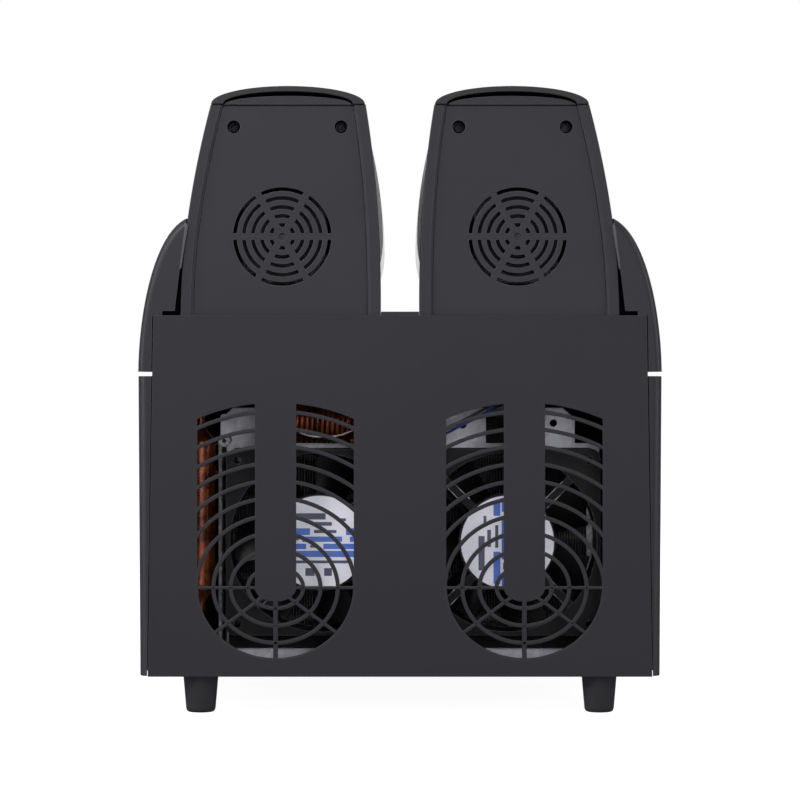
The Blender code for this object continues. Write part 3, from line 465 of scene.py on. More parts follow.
finishes = {
    "black_plastic": makeFinish(
        "blackPlastic", (0.0098, 0.0094, 0.0118), (0.0128, 0.0123, 0.0148), 0.46, specular=0.16, relief=0.12,
        blotch=(9.0, 0.3, (0.0112, 0.0108, 0.0132)), edge=(0.0006, 0.55, (0.075, 0.074, 0.08)), dust=0.05),
    "black_metal": makeFinish(
        "blackPaint", (0.0098, 0.0094, 0.0118), (0.0126, 0.0121, 0.0146), 0.5, size=1100.0, specular=0.14,
        relief=0.16, blotch=(7.0, 0.3, (0.0112, 0.0108, 0.0134)), edge=(0.0004, 0.45, (0.06, 0.066)), dust=0.03),
    "gloss_plastic": makeFinish(
        "glossPlastic", (0.008, 0.0095), (0.0105, 0.012), 0.1, roughSpread=0.04, relief=0.03,
        blotch=(20.0, 0.25, (0.014, 0.016)), coat=0.4),
    "rocker_plastic": makeFinish(
        "rockerPlastic", (0.014, 0.015), (0.02, 0.022), 0.33, size=2400.0, edge=(0.0004, 0.4, (0.08, 0.085))),
    "white_plastic": makeFinish(
        "whitePlastic", (0.7, 0.67), (0.8, 0.78), 0.36, relief=0.08, blotch=(25.0, 0.25, (0.66, 0.64, 0.58)),
        edge=(0.0005, 0.3, (0.9, 0.88))),
    "clear_plastic": makeClear("clearPlastic", (0.93, 0.945, 0.955), 0.06),
    "rubber": makeFinish(
        "footRubber", (0.0085, 0.0098), (0.013, 0.015), 0.66, size=2600.0, specular=0.12, relief=0.3,
        blotch=(40.0, 0.4, (0.019, 0.02)), dust=0.1),
    "seal_rubber": makeFinish(
        "sealRubber", (0.44, 0.42), (0.56, 0.54), 0.58, relief=0.2, blotch=(35.0, 0.3, (0.4, 0.39, 0.36))),
    "steel": makeFinish(
        "stainless", (0.5, 0.51), (0.66, 0.67), 0.26, pattern="streaks", size=1400.0,
        shape={"Stretch": (0.03, 1.0, 1.0)}, metallic=1.0, relief=0.1, blotch=(18.0, 0.2, (0.44, 0.45)),
        edge=(0.0004, 0.3, 0.8)),
    "galvanised": makeFinish(
        "galvanised", (0.46, 0.49), (0.74, 0.79), 0.55, pattern="spangle", size=230.0, metallic=0.35, relief=0.2,
        blotch=(45.0, 0.35, (0.4, 0.42)), edge=(0.0004, 0.5, (0.85, 0.87))),
    "aluminium": makeFinish(
        "finMetal", (0.035, 0.036), (0.085, 0.088), 0.5, size=700.0, metallic=0.5, specular=0.3, relief=0.2,
        blotch=(60.0, 0.5, 0.02), edge=(0.0003, 0.4, (0.2, 0.21))),
    "copper": makeFinish(
        "copper", (0.045, 0.009, 0.004), (0.34, 0.085, 0.026), 0.3, pattern="blotches", size=62.0,
        shape={"Low": 0.38, "High": 0.7}, metallic=0.7, roughSpread=0.2, relief=0.25, depth=0.0002,
        blotch=(260.0, 0.5, (0.11, 0.03, 0.015))),
    "motor_metal": makeFinish(
        "castMetal", (0.13, 0.135), (0.21, 0.215), 0.5, metallic=0.6, size=500.0, relief=0.3,
        blotch=(30.0, 0.3, 0.1), edge=(0.0005, 0.3, 0.35)),
    "compressor_black": makeFinish(
        "compressorPaint", (0.012, 0.013), (0.02, 0.022), 0.3, size=350.0, relief=0.25,
        blotch=(20.0, 0.4, (0.03, 0.028, 0.026)), dust=0.3),
    # the fan paint is far darker than the casing's black paint, a painted shade for the shadow inside the casing, and
    # its light edges are a painted highlight
    "fan_metal": makeFinish(
        "fanPaintShadeAndHighlight", (0.0022, 0.0026), (0.0045, 0.005), 0.42, size=900.0, specular=0.1, relief=0.25,
        blotch=(35.0, 0.3, (0.007, 0.008)), edge=(0.0005, 0.8, (0.2, 0.21))),
    "fan_plastic": makeFinish(
        "fanPlastic", (0.0035, 0.004), (0.006, 0.0065), 0.42, specular=0.18, blotch=(30.0, 0.3, (0.009, 0.01)),
        edge=(0.0004, 0.5, 0.06)),
    "board_green": makeFinish(
        "boardGreen", (0.01, 0.06, 0.028), (0.016, 0.095, 0.045), 0.35, size=400.0,
        blotch=(300.0, 0.6, (0.25, 0.16, 0.06))),
    "wire_blue": makeFinish(
        "wireBlue", (0.012, 0.03, 0.16), (0.02, 0.05, 0.26), 0.36, blotch=(50.0, 0.3, (0.01, 0.022, 0.1))),
    # looks that no slot has
    "wireBlack": makeFinish("wireBlack", (0.012, 0.014), (0.022, 0.024), 0.38, blotch=(50.0, 0.3, 0.03)),
    "tarnished": makeFinish(
        "tarnishedCopper", (0.012, 0.007, 0.005), (0.045, 0.022, 0.014), 0.5, pattern="blotches", size=90.0,
        metallic=0.4, blotch=(40.0, 0.5, (0.01, 0.008, 0.007))),
    # a light metal finish for the strut ridges: a painted highlight
    "paintedEdgeHighlight": makeFinish(
        "paintedEdgeHighlight", (0.05, 0.052), (0.42, 0.43), 0.4, pattern="blotches", size=110.0,
        shape={"Low": 0.42, "High": 0.62}, metallic=0.5, blotch=(300.0, 0.4, 0.02)),
    "foam": makeFinish(
        "foam", (0.006, 0.007), (0.014, 0.015), 0.9, size=900.0, specular=0.1, relief=0.9, depth=0.0004,
        blotch=(70.0, 0.4, 0.018)),
    "wireWhite": makeFinish(
        "wireWhite", (0.52, 0.51, 0.48), (0.66, 0.65, 0.62), 0.4, blotch=(60.0, 0.4, (0.35, 0.34, 0.31))),
    "labelPaper": makeFinish(
        "labelPaper", (0.76, 0.84), (0.83, 0.91), 0.36, size=900.0, relief=0.04, blotch=(60.0, 0.3, (0.7, 0.78))),
    "labelBlue": makeFinish(
        "labelBlue", (0.03, 0.11, 0.5), (0.045, 0.15, 0.6), 0.36, size=900.0, relief=0.04,
        blotch=(60.0, 0.3, (0.05, 0.13, 0.46))),
    "labelInk": makeFinish(
        "labelInk", (0.03, 0.034, 0.075), (0.05, 0.055, 0.11), 0.42, size=1400.0, relief=0.04,
        blotch=(90.0, 0.4, (0.09, 0.1, 0.17))),
    "speckled": makeFinish(
        "speckledZinc", (0.22, 0.225), (0.52, 0.53), 0.55, pattern="blotches", size=420.0,
        shape={"Low": 0.4, "High": 0.6}, metallic=0.6, relief=0.3, blotch=(50.0, 0.4, 0.07),
        edge=(0.0004, 0.5, (0.55, 0.56))),
    "print": makeFinish(
        "panelPrint", (0.52, 0.54), (0.64, 0.66), 0.4, size=1800.0, relief=0.05, blotch=(80.0, 0.2, (0.48, 0.5))),
    "screwZinc": makeFinish(
        "screwZinc", 0.2, 0.4, 0.36, metallic=0.9, size=800.0, blotch=(120.0, 0.4, 0.12), edge=(0.0003, 0.5, 0.7)),
}
print("finishes made:", len(finishes))


def weighted(mesh):
    # normals follow the larger faces, so flat walls stay flat beside their rounded edges
    helper = bpy.data.objects.new("helper", mesh)
    modifier = helper.modifiers.new("Normals", "WEIGHTED_NORMAL")
    modifier.weight = 100
    modifier.keep_sharp = True
    return evaluated(helper)


def addPiece(name, mesh, slotName, body="housing", replaced=(), finish=None, smooth=22):
    mesh.name = name
    mesh.materials.clear()
    mesh.materials.append(finishes[finish or slotName])
    mesh.shade_smooth()
    mesh.set_sharp_from_angle(angle=math.radians(smooth))
    mesh = weighted(mesh)
    mesh.name = name
    piece = bpy.data.objects.new(name, mesh)
    scene.collection.objects.link(piece)
    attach(piece, body)
    if replaced:
        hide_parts(*replaced)
    return piece


def swapPiece(name, mesh, slotName, body="housing", smooth=22):
    # towerCap_left, for one, replaces the node tower_cap_left
    node = "".join("_" + letter.lower() if letter.isupper() else letter for letter in name)
    return addPiece(name, mesh, slotName, body, [node], smooth=smooth)


# Geometry Nodes trees

def makeBarTree():
    # oval bars inside one another, with straight spokes across them
    tree, given, result = newTree("grilleBars", "GeometryNodeTree", [
        ("Rings", "Int", 10), ("First Radius", "Float", 0.013), ("Pitch", "Float", 0.0109),
        ("Flatness", "Float", 0.0044), ("Bar Width", "Float", 0.0028), ("Bar Depth", "Float", 0.0024),
        ("Edge", "Float", 0.0006), ("Spokes", "Int", 5), ("Spoke First", "Float", 0.0),
        ("Spoke Turn", "Float", 0.78), ("Spoke Width", "Float", 0.0022), ("Material", "Material", None),
    ], [("Geometry", "Geometry")])
    line = put(tree, "GeometryNodeMeshLine", {"Count": given["Rings"], "Offset": (0.0, 0.0, 0.0)})
    index = put(tree, "GeometryNodeInputIndex").outputs[0]
    high = maths(tree, "ADD", maths(tree, "MULTIPLY", index, given["Pitch"]), given["First Radius"])
    wide = maths(tree, "ADD", high, given["Flatness"])
    size = put(tree, "ShaderNodeCombineXYZ", {0: wide, 1: high, 2: 1.0})
    ring = put(tree, "GeometryNodeCurvePrimitiveCircle", {"Resolution": 128, "Radius": 1.0})
    rings = put(tree, "GeometryNodeInstanceOnPoints", {"Points": line, "Instance": ring,
                                                        "Scale": size})
    upright = put(tree, "GeometryNodeSetCurveNormal", {0: put(tree, "GeometryNodeRealizeInstances",
                                                              {0: rings}).outputs[0]}, mode="Z_UP")

    def sweep(curve, width):
        section = put(tree, "GeometryNodeCurvePrimitiveQuadrilateral", {"Width": width,
                                                                       "Height": given["Bar Depth"]})
        soft = put(tree, "GeometryNodeFilletCurve", {0: section, "Radius": given["Edge"],
                                                     "Count": 2}, mode="POLY")
        return put(tree, "GeometryNodeCurveToMesh", {0: curve, 1: soft, "Fill Caps": True}).outputs[0]

    spokeLine = put(tree, "GeometryNodeCurvePrimitiveLine", {"Start": (0.004, 0.0, 0.0), "End": (0.08, 0.0, 0.0)})
    spokeUp = put(tree, "GeometryNodeSetCurveNormal", {0: spokeLine}, mode="Z_UP")
    spokeBar = sweep(spokeUp.outputs[0], given["Spoke Width"])
    spokePoints = put(tree, "GeometryNodeMeshLine", {"Count": given["Spokes"], "Offset": (0.0, 0.0, 0.0)})
    turn = maths(tree, "ADD", maths(tree, "MULTIPLY", index, given["Spoke Turn"]),
                 given["Spoke First"])
    turnAll = put(tree, "ShaderNodeCombineXYZ", {2: turn})
    spokes = put(tree, "GeometryNodeInstanceOnPoints", {"Points": spokePoints, "Instance": spokeBar,
                                                         "Rotation": turnAll})
    both = tree.nodes.new("GeometryNodeJoinGeometry")
    tree.links.new(sweep(upright.outputs[0], given["Bar Width"]), both.inputs[0])
    tree.links.new(spokes.outputs[0], both.inputs[0])
    closeTree(tree, both.outputs[0], given, result)
    return tree


def makeRowTree():
    # copies of the given shape in a straight row
    tree, given, result = newTree("evenRow", "GeometryNodeTree", [
        ("Geometry", "Geometry", None), ("Count", "Int", 10), ("Step", "Vector", (0.002, 0.0, 0.0)),
        ("Material", "Material", None)], [("Geometry", "Geometry")])
    line = put(tree, "GeometryNodeMeshLine", {"Count": given["Count"], "Offset": given["Step"]})
    row = put(tree, "GeometryNodeInstanceOnPoints", {"Points": line, "Instance": given["Geometry"]})
    closeTree(tree, row.outputs[0], given, result)
    return tree


def makeTurnTree():
    # copies of the given shape turned about the Z axis
    tree, given, result = newTree("roundArray", "GeometryNodeTree", [
        ("Geometry", "Geometry", None), ("Count", "Int", 7), ("First Angle", "Float", 0.0),
        ("Material", "Material", None)], [("Geometry", "Geometry")])
    line = put(tree, "GeometryNodeMeshLine", {"Count": given["Count"], "Offset": (0.0, 0.0, 0.0)})
    index = put(tree, "GeometryNodeInputIndex").outputs[0]
    share = maths(tree, "DIVIDE", maths(tree, "MULTIPLY", index, 2 * math.pi), given["Count"])
    turn = put(tree, "ShaderNodeCombineXYZ", {2: maths(tree, "ADD", share, given["First Angle"])})
    ring = put(tree, "GeometryNodeInstanceOnPoints", {"Points": line,
                                                       "Instance": given["Geometry"],
                                                       "Rotation": turn})
    closeTree(tree, ring.outputs[0], given, result)
    return tree


def makeWindingTree():
    # round wire wound about the Z axis
    tree, given, result = newTree("windings", "GeometryNodeTree", [
        ("Turns", "Float", 10.0), ("Radius", "Float", 0.01), ("Height", "Float", 0.03),
        ("Wire Radius", "Float", 0.001), ("Steps", "Int", 24), ("Material", "Material", None),
    ], [("Geometry", "Geometry")])
    spiral = put(tree, "GeometryNodeCurveSpiral", {
        "Resolution": given["Steps"], "Rotations": given["Turns"],
        "Start Radius": given["Radius"], "End Radius": given["Radius"],
        "Height": given["Height"]})
    section = put(tree, "GeometryNodeCurvePrimitiveCircle", {"Resolution": 8, "Radius": given["Wire Radius"]})
    wound = put(tree, "GeometryNodeCurveToMesh", {0: spiral, 1: section, "Fill Caps": True})
    closeTree(tree, wound.outputs[0], given, result)
    return tree


def makeScrewTree():
    # a pan-head cross screw on each given point, facing along Z before it is turned
    tree, given, result = newTree("screws", "GeometryNodeTree", [
        ("Geometry", "Geometry", None), ("Head Radius", "Float", 0.003), ("Head Height", "Float", 0.0018),
        ("Recess Width", "Float", 0.0008), ("Facing", "Vector", (0.0, 0.0, 0.0)), ("Material", "Material", None),
    ], [("Geometry", "Geometry")])
    radius, height = given["Head Radius"], given["Head Height"]
    slim = maths(tree, "MULTIPLY", radius, 0.78)
    head = put(tree, "GeometryNodeMeshCone", {"Vertices": 24, "Radius Top": slim, "Radius Bottom": radius,
                                              "Depth": height})
    long = maths(tree, "MULTIPLY", radius, 1.15)
    slots = []
    for first, second in ((long, given["Recess Width"]), (given["Recess Width"], long)):
        size = put(tree, "ShaderNodeCombineXYZ", {0: first, 1: second, 2: height})
        bar = put(tree, "GeometryNodeMeshCube", {"Size": size})
        lift = put(tree, "ShaderNodeCombineXYZ", {2: maths(tree, "MULTIPLY", height, 0.95)})
        slots.append(put(tree, "GeometryNodeTransform", {0: bar, "Translation": lift}))
    recess = put(tree, "GeometryNodeMeshBoolean", {"Mesh 1": head}, operation="DIFFERENCE", solver="EXACT")
    for one in slots:
        tree.links.new(one.outputs[0], recess.inputs["Mesh 2"])
    heads = put(tree, "GeometryNodeInstanceOnPoints", {"Points": given["Geometry"],
                                                        "Instance": recess,
                                                        "Rotation": given["Facing"]})
    closeTree(tree, heads.outputs[0], given, result)
    return tree


barTree, rowTree, turnTree, windingTree, screwTree = (makeBarTree(), makeRowTree(), makeTurnTree(),
                                                      makeWindingTree(), makeScrewTree())
facings = {"rear": (-math.pi / 2, 0.0, 0.0), "down": (math.pi, 0.0, 0.0)}


def screwsAt(name, places, facing, radius, finish="screwZinc"):
    points = bpy.data.meshes.new("points")
    points.from_pydata([tuple(p) for p in places], [], [])
    mesh = runTree(screwTree, {"Head Radius": radius, "Head Height": radius * 0.6, "Recess Width": radius * 0.27,
                               "Facing": facings[facing], "Material": finishes[finish]}, points)
    addPiece(name, mesh, "steel", finish=finish, smooth=30)


print("trees made")

# Casing

casing = {"rear": 0.21, "front": -0.21, "halfWidth": 0.1654, "baseBottom": 0.0235, "baseTop": 0.0255,
          "partingLow": 0.2127, "partingHigh": 0.2154, "panelTop": 0.251, "panelHalfTop": 0.1556,
          "panelHalfBottom": 0.159, "panelThickness": 0.0015, "frontPanelY": -0.095, "sideWall": 0.0022,
          "draft": 0.0012, "sideRear": 0.209, "corner": 0.007, "plinthTop": 0.056, "gap": 0.0003,
          "deckTop": 0.237}
grille = {"x": 0.0784, "z": 0.0793, "half": 0.0493, "drop": 0.045, "first": 0.013, "pitch": 0.0109,
          "flat": 0.0044, "rings": 10, "bar": 0.0026, "depth": 0.0024, "tongueHalf": 0.013, "tongueEnd": 0.0088,
          "spokes": ((180, 0.002), (216.5, 0.0022), (270, 0.003), (323.5, 0.0022), (360, 0.002))}


def panelHalf(z):
    share = (casing["panelTop"] - z) / (casing["panelTop"] - casing["baseBottom"])
    return casing["panelHalfTop"] + (casing["panelHalfBottom"] - casing["panelHalfTop"]) * share


def rearOpening(margin):
    low, high = casing["baseBottom"] - casing["gap"], casing["panelTop"]
    lowHalf, highHalf = panelHalf(low) + margin, panelHalf(high) + margin
    return [(-lowHalf, low), (lowHalf, low), (highHalf, high), (-highHalf, high)]


def grilleOutline(x, grow=0.0):
    # a U-shaped opening round a tongue that comes down from its top
    g = grille
    center = (x, g["z"])
    topV = g["first"] + g["pitch"] * g["rings"] - 0.0055 + grow
    topU = topV + g["flat"]
    half, tongue = g["half"] + grow, g["tongueHalf"] - grow
    reach = math.degrees(math.acos(half / topU))
    meet = math.degrees(math.acos(tongue / topU))
    return (arc(center, half, g["drop"] + grow, 180, 360, 48)
            + arc(center, topU, topV, reach, meet, 20)
            + arc(center, tongue, g["tongueEnd"] - grow, 360, 180, 20)
            + arc(center, topU, topV, 180 - meet, 180 - reach, 20))


def makeGrilleBars(x):
    g = grille
    rear = casing["rear"] - 0.0001
    bars = runTree(barTree, {"Rings": g["rings"], "First Radius": g["first"], "Pitch": g["pitch"],
                             "Flatness": g["flat"], "Bar Width": g["bar"], "Bar Depth": g["depth"],
                             "Spokes": 0, "Material": finishes["black_metal"]})
    meshes = [bars]
    for angle, width in g["spokes"]:
        meshes.append(runTree(barTree, {"Rings": 0, "Bar Depth": g["depth"], "Spokes": 1,
                                        "Spoke First": math.radians(angle), "Spoke Width": width,
                                        "Material": finishes["black_metal"]}))
    place = at(x, rear - g["depth"] / 2, g["z"]) @ planes["rear"]
    for mesh in meshes:
        mesh.transform(place)
        clean(mesh)
    inside = flatSolid([grilleOutline(x, 0.0007)], "rear", rear - g["depth"] - 0.001, rear + 0.001)
    return gathered(*[boolean(mesh, [inside.copy()], "INTERSECT") for mesh in meshes])


def makeRearPanel():
    loops = [rearOpening(0)] + [grilleOutline(sign * grille["x"]) for _, sign in sides]
    sheet = flatSolid(loops, "rear", casing["rear"] - casing["panelThickness"], casing["rear"], edge=0.0003)
    bars = [makeGrilleBars(sign * grille["x"]) for _, sign in sides]
    swapPiece("rearPanel", gathered(sheet, *bars), "black_metal", smooth=40)


def makeSidePanel(side, sign):
    c = casing
    middle = (c["halfWidth"] - c["corner"], c["sideRear"] - c["corner"])
    outer = [(c["halfWidth"], c["front"] + 0.002)] + arc(middle, c["corner"], c["corner"], 0, 90, 14)
    outer.append((0.15, c["sideRear"]))
    loop = outer + offsetLine(outer, c["sideWall"])[::-1]
    mesh = flatSolid([mirrored(loop, sign)], "plan", c["baseBottom"], c["partingLow"], edge=0.0005, edgeSteps=2)
    for vertex in mesh.vertices:
        share = (c["partingLow"] - vertex.co.z) / (c["partingLow"] - c["baseBottom"])
        vertex.co.x -= sign * c["draft"] * share
    start = c["frontPanelY"] - 0.0006
    sweep = bezier((start, 0.23), (start, 0.105), (-0.125, 0.062), (c["front"] - 0.004, c["plinthTop"]), 40)
    above = sweep + [(c["front"] - 0.004, 0.23)]
    mesh = cut(mesh, flatSolid([above], "side", sign * 0.166 - 0.03, sign * 0.166 + 0.03),
               flatSolid([rearOpening(0.0006)], "rear", 0.2, 0.22))
    swapPiece(f"sidePanel_{side}", mesh, "black_plastic")


shoulder = {"wall": 0.0028, "rearWall": 0.003, "rounding": 0.005, "steps": 44, "ribY": 0.124, "ribTop": 0.3045,
            "ribGap": 0.0004}


def shoulderCurve(steps):
    half = casing["halfWidth"]
    return bezier((half, casing["partingHigh"]), (half - 0.0004, 0.255), (0.155, 0.303), (0.1348, 0.3124), steps)


def makeShoulder(side, sign):
    c = casing
    curve = shoulderCurve(shoulder["steps"])
    innerEdge = [(0.1356, 0.3068), (0.1421, 0.2538), (0.15, 0.2538), (0.15, c["partingHigh"])]
    mesh = flatSolid([mirrored(curve + innerEdge, sign)], "rear", c["frontPanelY"] + 0.0025, c["sideRear"])
    roundRearEdge(mesh, [(sign * u, v) for u, v in curve])
    hollow = offsetLine([(c["halfWidth"], 0.2)] + curve, shoulder["wall"]) + [(0.1, 0.3092), (0.1, 0.2)]
    sweep = bezier((0.165, 0.3135), (0.1, 0.3135), (0.06, 0.246), (c["frontPanelY"] - 0.001, 0.243), 40)
    above = sweep + [(-0.12, 0.243), (-0.12, 0.34), (0.165, 0.34)]
    mesh = cut(mesh, flatSolid([mirrored(hollow, sign)], "rear", -0.12, c["sideRear"] - shoulder["rearWall"]),
               flatSolid([rearOpening(0.0006)], "rear", 0.2, 0.22),
               flatSolid([above], "side", sign * 0.15 - 0.04, sign * 0.15 + 0.04))
    swapPiece(f"shoulder_{side}", gathered(mesh, makeRib(sign)), "black_plastic")


def makeRib(sign):
    # an upright rib inside the shoulder that closes the gap beside the tower
    s, deck = shoulder, casing["deckTop"]
    foot = deck + casing["gap"]
    beside = [(u + s["ribGap"], v) for u, v in towerSide() if v < s["ribTop"]]
    beside = [(beside[0][0], foot)] + beside
    wall = [(u, v) for u, v in offsetLine(shoulderCurve(s["steps"]), s["wall"] - 0.0003) if v < s["ribTop"] - 0.0008]
    wall = [(wall[0][0], foot)] + [p for p in wall if p[1] > deck + 0.001]
    return flatSolid([mirrored(beside + wall[::-1], sign)], "rear", s["ribY"], s["ribY"] + 0.0025, 0.0003)


def roundRearEdge(mesh, curve):
    work = bmesh.new()
    work.from_mesh(mesh)
    bmesh.ops.dissolve_limit(work, angle_limit=0.0005, verts=work.verts, edges=work.edges)

    def onCurve(vertex):
        near = min(math.hypot(vertex.co.x - u, vertex.co.z - v) for u, v in curve)
        return near < 0.00005 and abs(vertex.co.y - casing["sideRear"]) < 0.00005

    edges = [e for e in work.edges if all(onCurve(v) for v in e.verts)]
    bmesh.ops.bevel(work, geom=edges, offset=shoulder["rounding"], segments=8, profile=0.5, affect="EDGES")
    finished(work, mesh)


def makeDeck():
    c = casing
    rear = 0.208
    corners = [(0.16, c["frontPanelY"] + 0.0025), (0.16, 0.2045), (0.15, 0.2045), (0.15, rear)]
    loop = corners + mirrored(reversed(corners), -1)
    deck = flatSolid([loop], "plan", c["deckTop"] - 0.003, c["deckTop"], edge=0.0005)
    rim = block((-0.012, rear - 0.003, c["deckTop"] - 0.001), (0.012, rear - 0.0004, 0.2534), edge=0.0004)
    # a drain lip round the place of each bowl
    lips = [flatSolid([rectangle((x - 0.052, -0.088), (x + 0.052, 0.108), 0.012, 8),
                       rectangle((x - 0.0505, -0.0865), (x + 0.0505, 0.1065), 0.0105, 8)], "plan",
                      c["deckTop"] - 0.001, c["deckTop"] + 0.0009, edge=0.0002)
            for x in (-tower["axisX"], tower["axisX"])]
    swapPiece("deck", fused(deck, rim, *lips), "black_plastic")


base = {"half": 0.1585, "glandX": 0.1, "glandY": 0.02, "footX": 0.1263, "footFrontY": -0.185, "footRearY": 0.196,
        "slotsX": (-0.135, 0.045, 0.065, 0.085, 0.135), "screwX": 0.152, "screwsY": (-0.14, -0.02, 0.1, 0.165)}


def makeBase():
    c = casing
    outline = rectangle((-base["half"], c["front"] + 0.0045), (base["half"], 0.206), 0.004)
    holes = [circle((base["glandX"], base["glandY"]), 0.005, 24)]
    holes += [rectangle((x - 0.004, -0.07), (x + 0.004, -0.03), 0.0035, 5) for x in base["slotsX"]]
    plate = flatSolid([outline] + holes, "plan", c["baseBottom"], c["baseTop"], edge=0.0003)
    swapPiece("basePlate", plate, "galvanised")
    profile = [(0.009, 0.023), (0.009, 0.0185), (0.0086, 0.0178), (0.0075, 0.0172), (0.007, 0.016),
               (0.0068, 0.0126), (0.0062, 0.012), (0.0046, 0.012), (0.004, 0.0126), (0.004, 0.023)]
    gland = turned(profile, at(base["glandX"], base["glandY"], 0), 32, ring=True)
    swapPiece("cableGland", gland, "black_plastic")
    # a tapered rubber foot with a rounded sole and a hollow for its screw
    foot = [(0, 0.005), (0.0032, 0.005), (0.0034, 0.0006), (0.004, 0), (0.0074, 0), (0.0082, 0.0003),
            (0.0088, 0.0009), (0.0092, 0.0018), (0.0094, 0.0028), (0.011, 0.0215), (0.0111, 0.0228),
            (0.0109, 0.0232), (0, 0.0232)]
    for end, y in (("front", base["footFrontY"]), ("rear", base["footRearY"])):
        for side, sign in sides:
            place = at(sign * base["footX"], y, 0)
            swapPiece(f"foot_{end}_{side}", turned(foot, place, 40), "rubber")
    places = [(sign * base["footX"], y, 0.0042) for _, sign in sides for y in (base["footFrontY"], base["footRearY"])]
    screwsAt("footScrews", places, "down", 0.0028)
    places = [(sign * base["screwX"], y, c["baseBottom"] - 0.0004) for _, sign in sides for y in base["screwsY"]]
    screwsAt("baseScrews", places, "down", 0.003)


def makeFrontPanel():
    c = casing
    outline = rectangle((-0.1605, c["baseTop"] + c["gap"]), (0.1605, c["deckTop"] - 0.0035), 0.0015)
    hole = rectangle((-0.09, controls["z"] - 0.018), (0.09, controls["z"] + 0.018), 0.002)
    # a row of upright air slots
    slots = [rectangle((x - 0.0022, 0.075), (x + 0.0022, 0.125), 0.0021, 5)
             for x in [(i - 9.5) * 0.0115 for i in range(20)]]
    plate = flatSolid([outline, hole] + slots, "rear", c["frontPanelY"], c["frontPanelY"] + 0.002, edge=0.0003)
    swapPiece("frontPanel", plate, "black_metal")


# Towers

tower = {"axisX": 0.0748, "axisZ": 0.302, "front": 0.118, "rear": 0.208, "wall": 0.0025, "base": 0.2536,
         "top": 0.384, "rim": 0.008, "archX": 0.0706, "capHalf": 0.0485, "capRise": 0.0113, "steps": 24,
         "screwX": (0.1049, 0.0372), "screwZ": 0.37, "screwHole": 0.0041, "capWall": 0.0075, "capCrown": 0.0034,
         "recess": 0.0017, "inset": 0.0018}
vent = {"x": 0.0743, "z": 0.3008, "rings": (0.0299, 0.02425, 0.0186, 0.01295, 0.00725), "slot": 0.0023,
        "spoke": 0.0042, "dimple": 0.0025, "dimpleDepth": 0.0013}


def towerSide():
    # the outer edge of a tower, from its base up
    return bezier((0.1383, tower["base"]), (0.1383, 0.298), (0.1295, 0.346), (0.1194, tower["top"]), tower["steps"])


def towerOutline(inset, bottom, rise):
    t = tower
    outer = towerSide()
    inner = bezier((0.0126, t["base"]), (0.0122, 0.3), (0.015, 0.345), (0.0216, t["top"]), t["steps"])
    outer = [(u - inset, v) for u, v in outer]
    inner = [(u + inset, v) for u, v in inner]
    crown = arc((t["archX"], t["top"]), t["capHalf"] - 0.0082 - inset * 0.5, rise, 0, 180, 32) if rise > 0 else []
    return [(outer[0][0], bottom)] + outer + crown + inner[::-1] + [(inner[0][0], bottom)]


def lowered(loop, drop):
    return [(u, v - drop if v > tower["top"] - 0.002 else v) for u, v in loop]


def makeTower(side, sign):
    t = tower
    bottom = casing["deckTop"] + casing["gap"]
    outline = mirrored(towerOutline(0, bottom, 0.0055), sign)
    shell = flatSolid([outline], "rear", t["front"], t["rear"], edge=0.0007, edgeSteps=2)
    hollow = lowered(towerOutline(t["wall"], bottom - 0.01, 0.0055), t["wall"])
    window = lowered(towerOutline(t["rim"], 0.245, 0), 0.0002)
    # the rim slopes down to the inset cover
    slope = towerOutline(t["rim"] - t["recess"], 0.24, 0)
    axle = Vector((sign * t["axisX"], 0, t["axisZ"]))
    shell = cut(shell, flatSolid([mirrored(hollow, sign)], "rear", t["front"] + t["wall"], t["rear"] - 0.0028),
                flatSolid([mirrored(window, sign)], "rear", t["rear"] - 0.01, t["rear"] + 0.01),
                flatSolid([mirrored(slope, sign)], "rear", t["rear"] - t["inset"] - 0.0002,
                          t["rear"] + 0.003, t["recess"], 2),
                rod(axle + Vector((0, 0.1, 0)), axle + Vector((0, 0.13, 0)), 0.007))
    swapPiece(f"towerShell_{side}", shell, "black_plastic")
    makeTowerCover(side, sign)
    makeTowerCap(side, sign)


def makeTowerCover(side, sign):
    t = tower
    plate = lowered(towerOutline(t["rim"] + casing["gap"], 0.2453, 0), 0.0005)
    rear = t["rear"] - t["inset"]
    holes = [circle((x, t["screwZ"]), t["screwHole"], 32) for x in t["screwX"]]
    slots = [slot for i in range(len(vent["rings"])) for slot in ventRing(i)]
    loops = [mirrored(loop, sign) for loop in [plate] + holes + slots]
    mesh = flatSolid(loops, "rear", rear - 0.0025, rear, edge=0.0002)
    center = (sign * vent["x"], rear, vent["z"])
    dimple = turned([(0, -vent["dimpleDepth"]), (vent["dimple"] * 0.7, -vent["dimpleDepth"] * 0.9),
                     (vent["dimple"], 0.0001), (vent["dimple"], 0.001), (0, 0.001)], alongY(*center), 24)
    # deep wells behind the screw holes
    well = [(t["screwHole"] + 0.0012, 0), (t["screwHole"] + 0.0012, -0.016), (0, -0.016), (0, -0.0145),
            (t["screwHole"] - 0.0002, -0.0145), (t["screwHole"], 0)]
    wells = [turned(well, alongY(sign * x, rear - 0.0022, t["screwZ"]), 32, ring=True) for x in t["screwX"]]
    swapPiece(f"towerCover_{side}", gathered(cut(mesh, dimple), *wells), "black_plastic")
    # the screws take the near-black fan paint so that the screw holes read dark: painted shade
    screwsAt(f"coverScrews_{side}", [(sign * x, rear - 0.0158, t["screwZ"]) for x in t["screwX"]], "rear", 0.0029,
             finish="fan_metal")


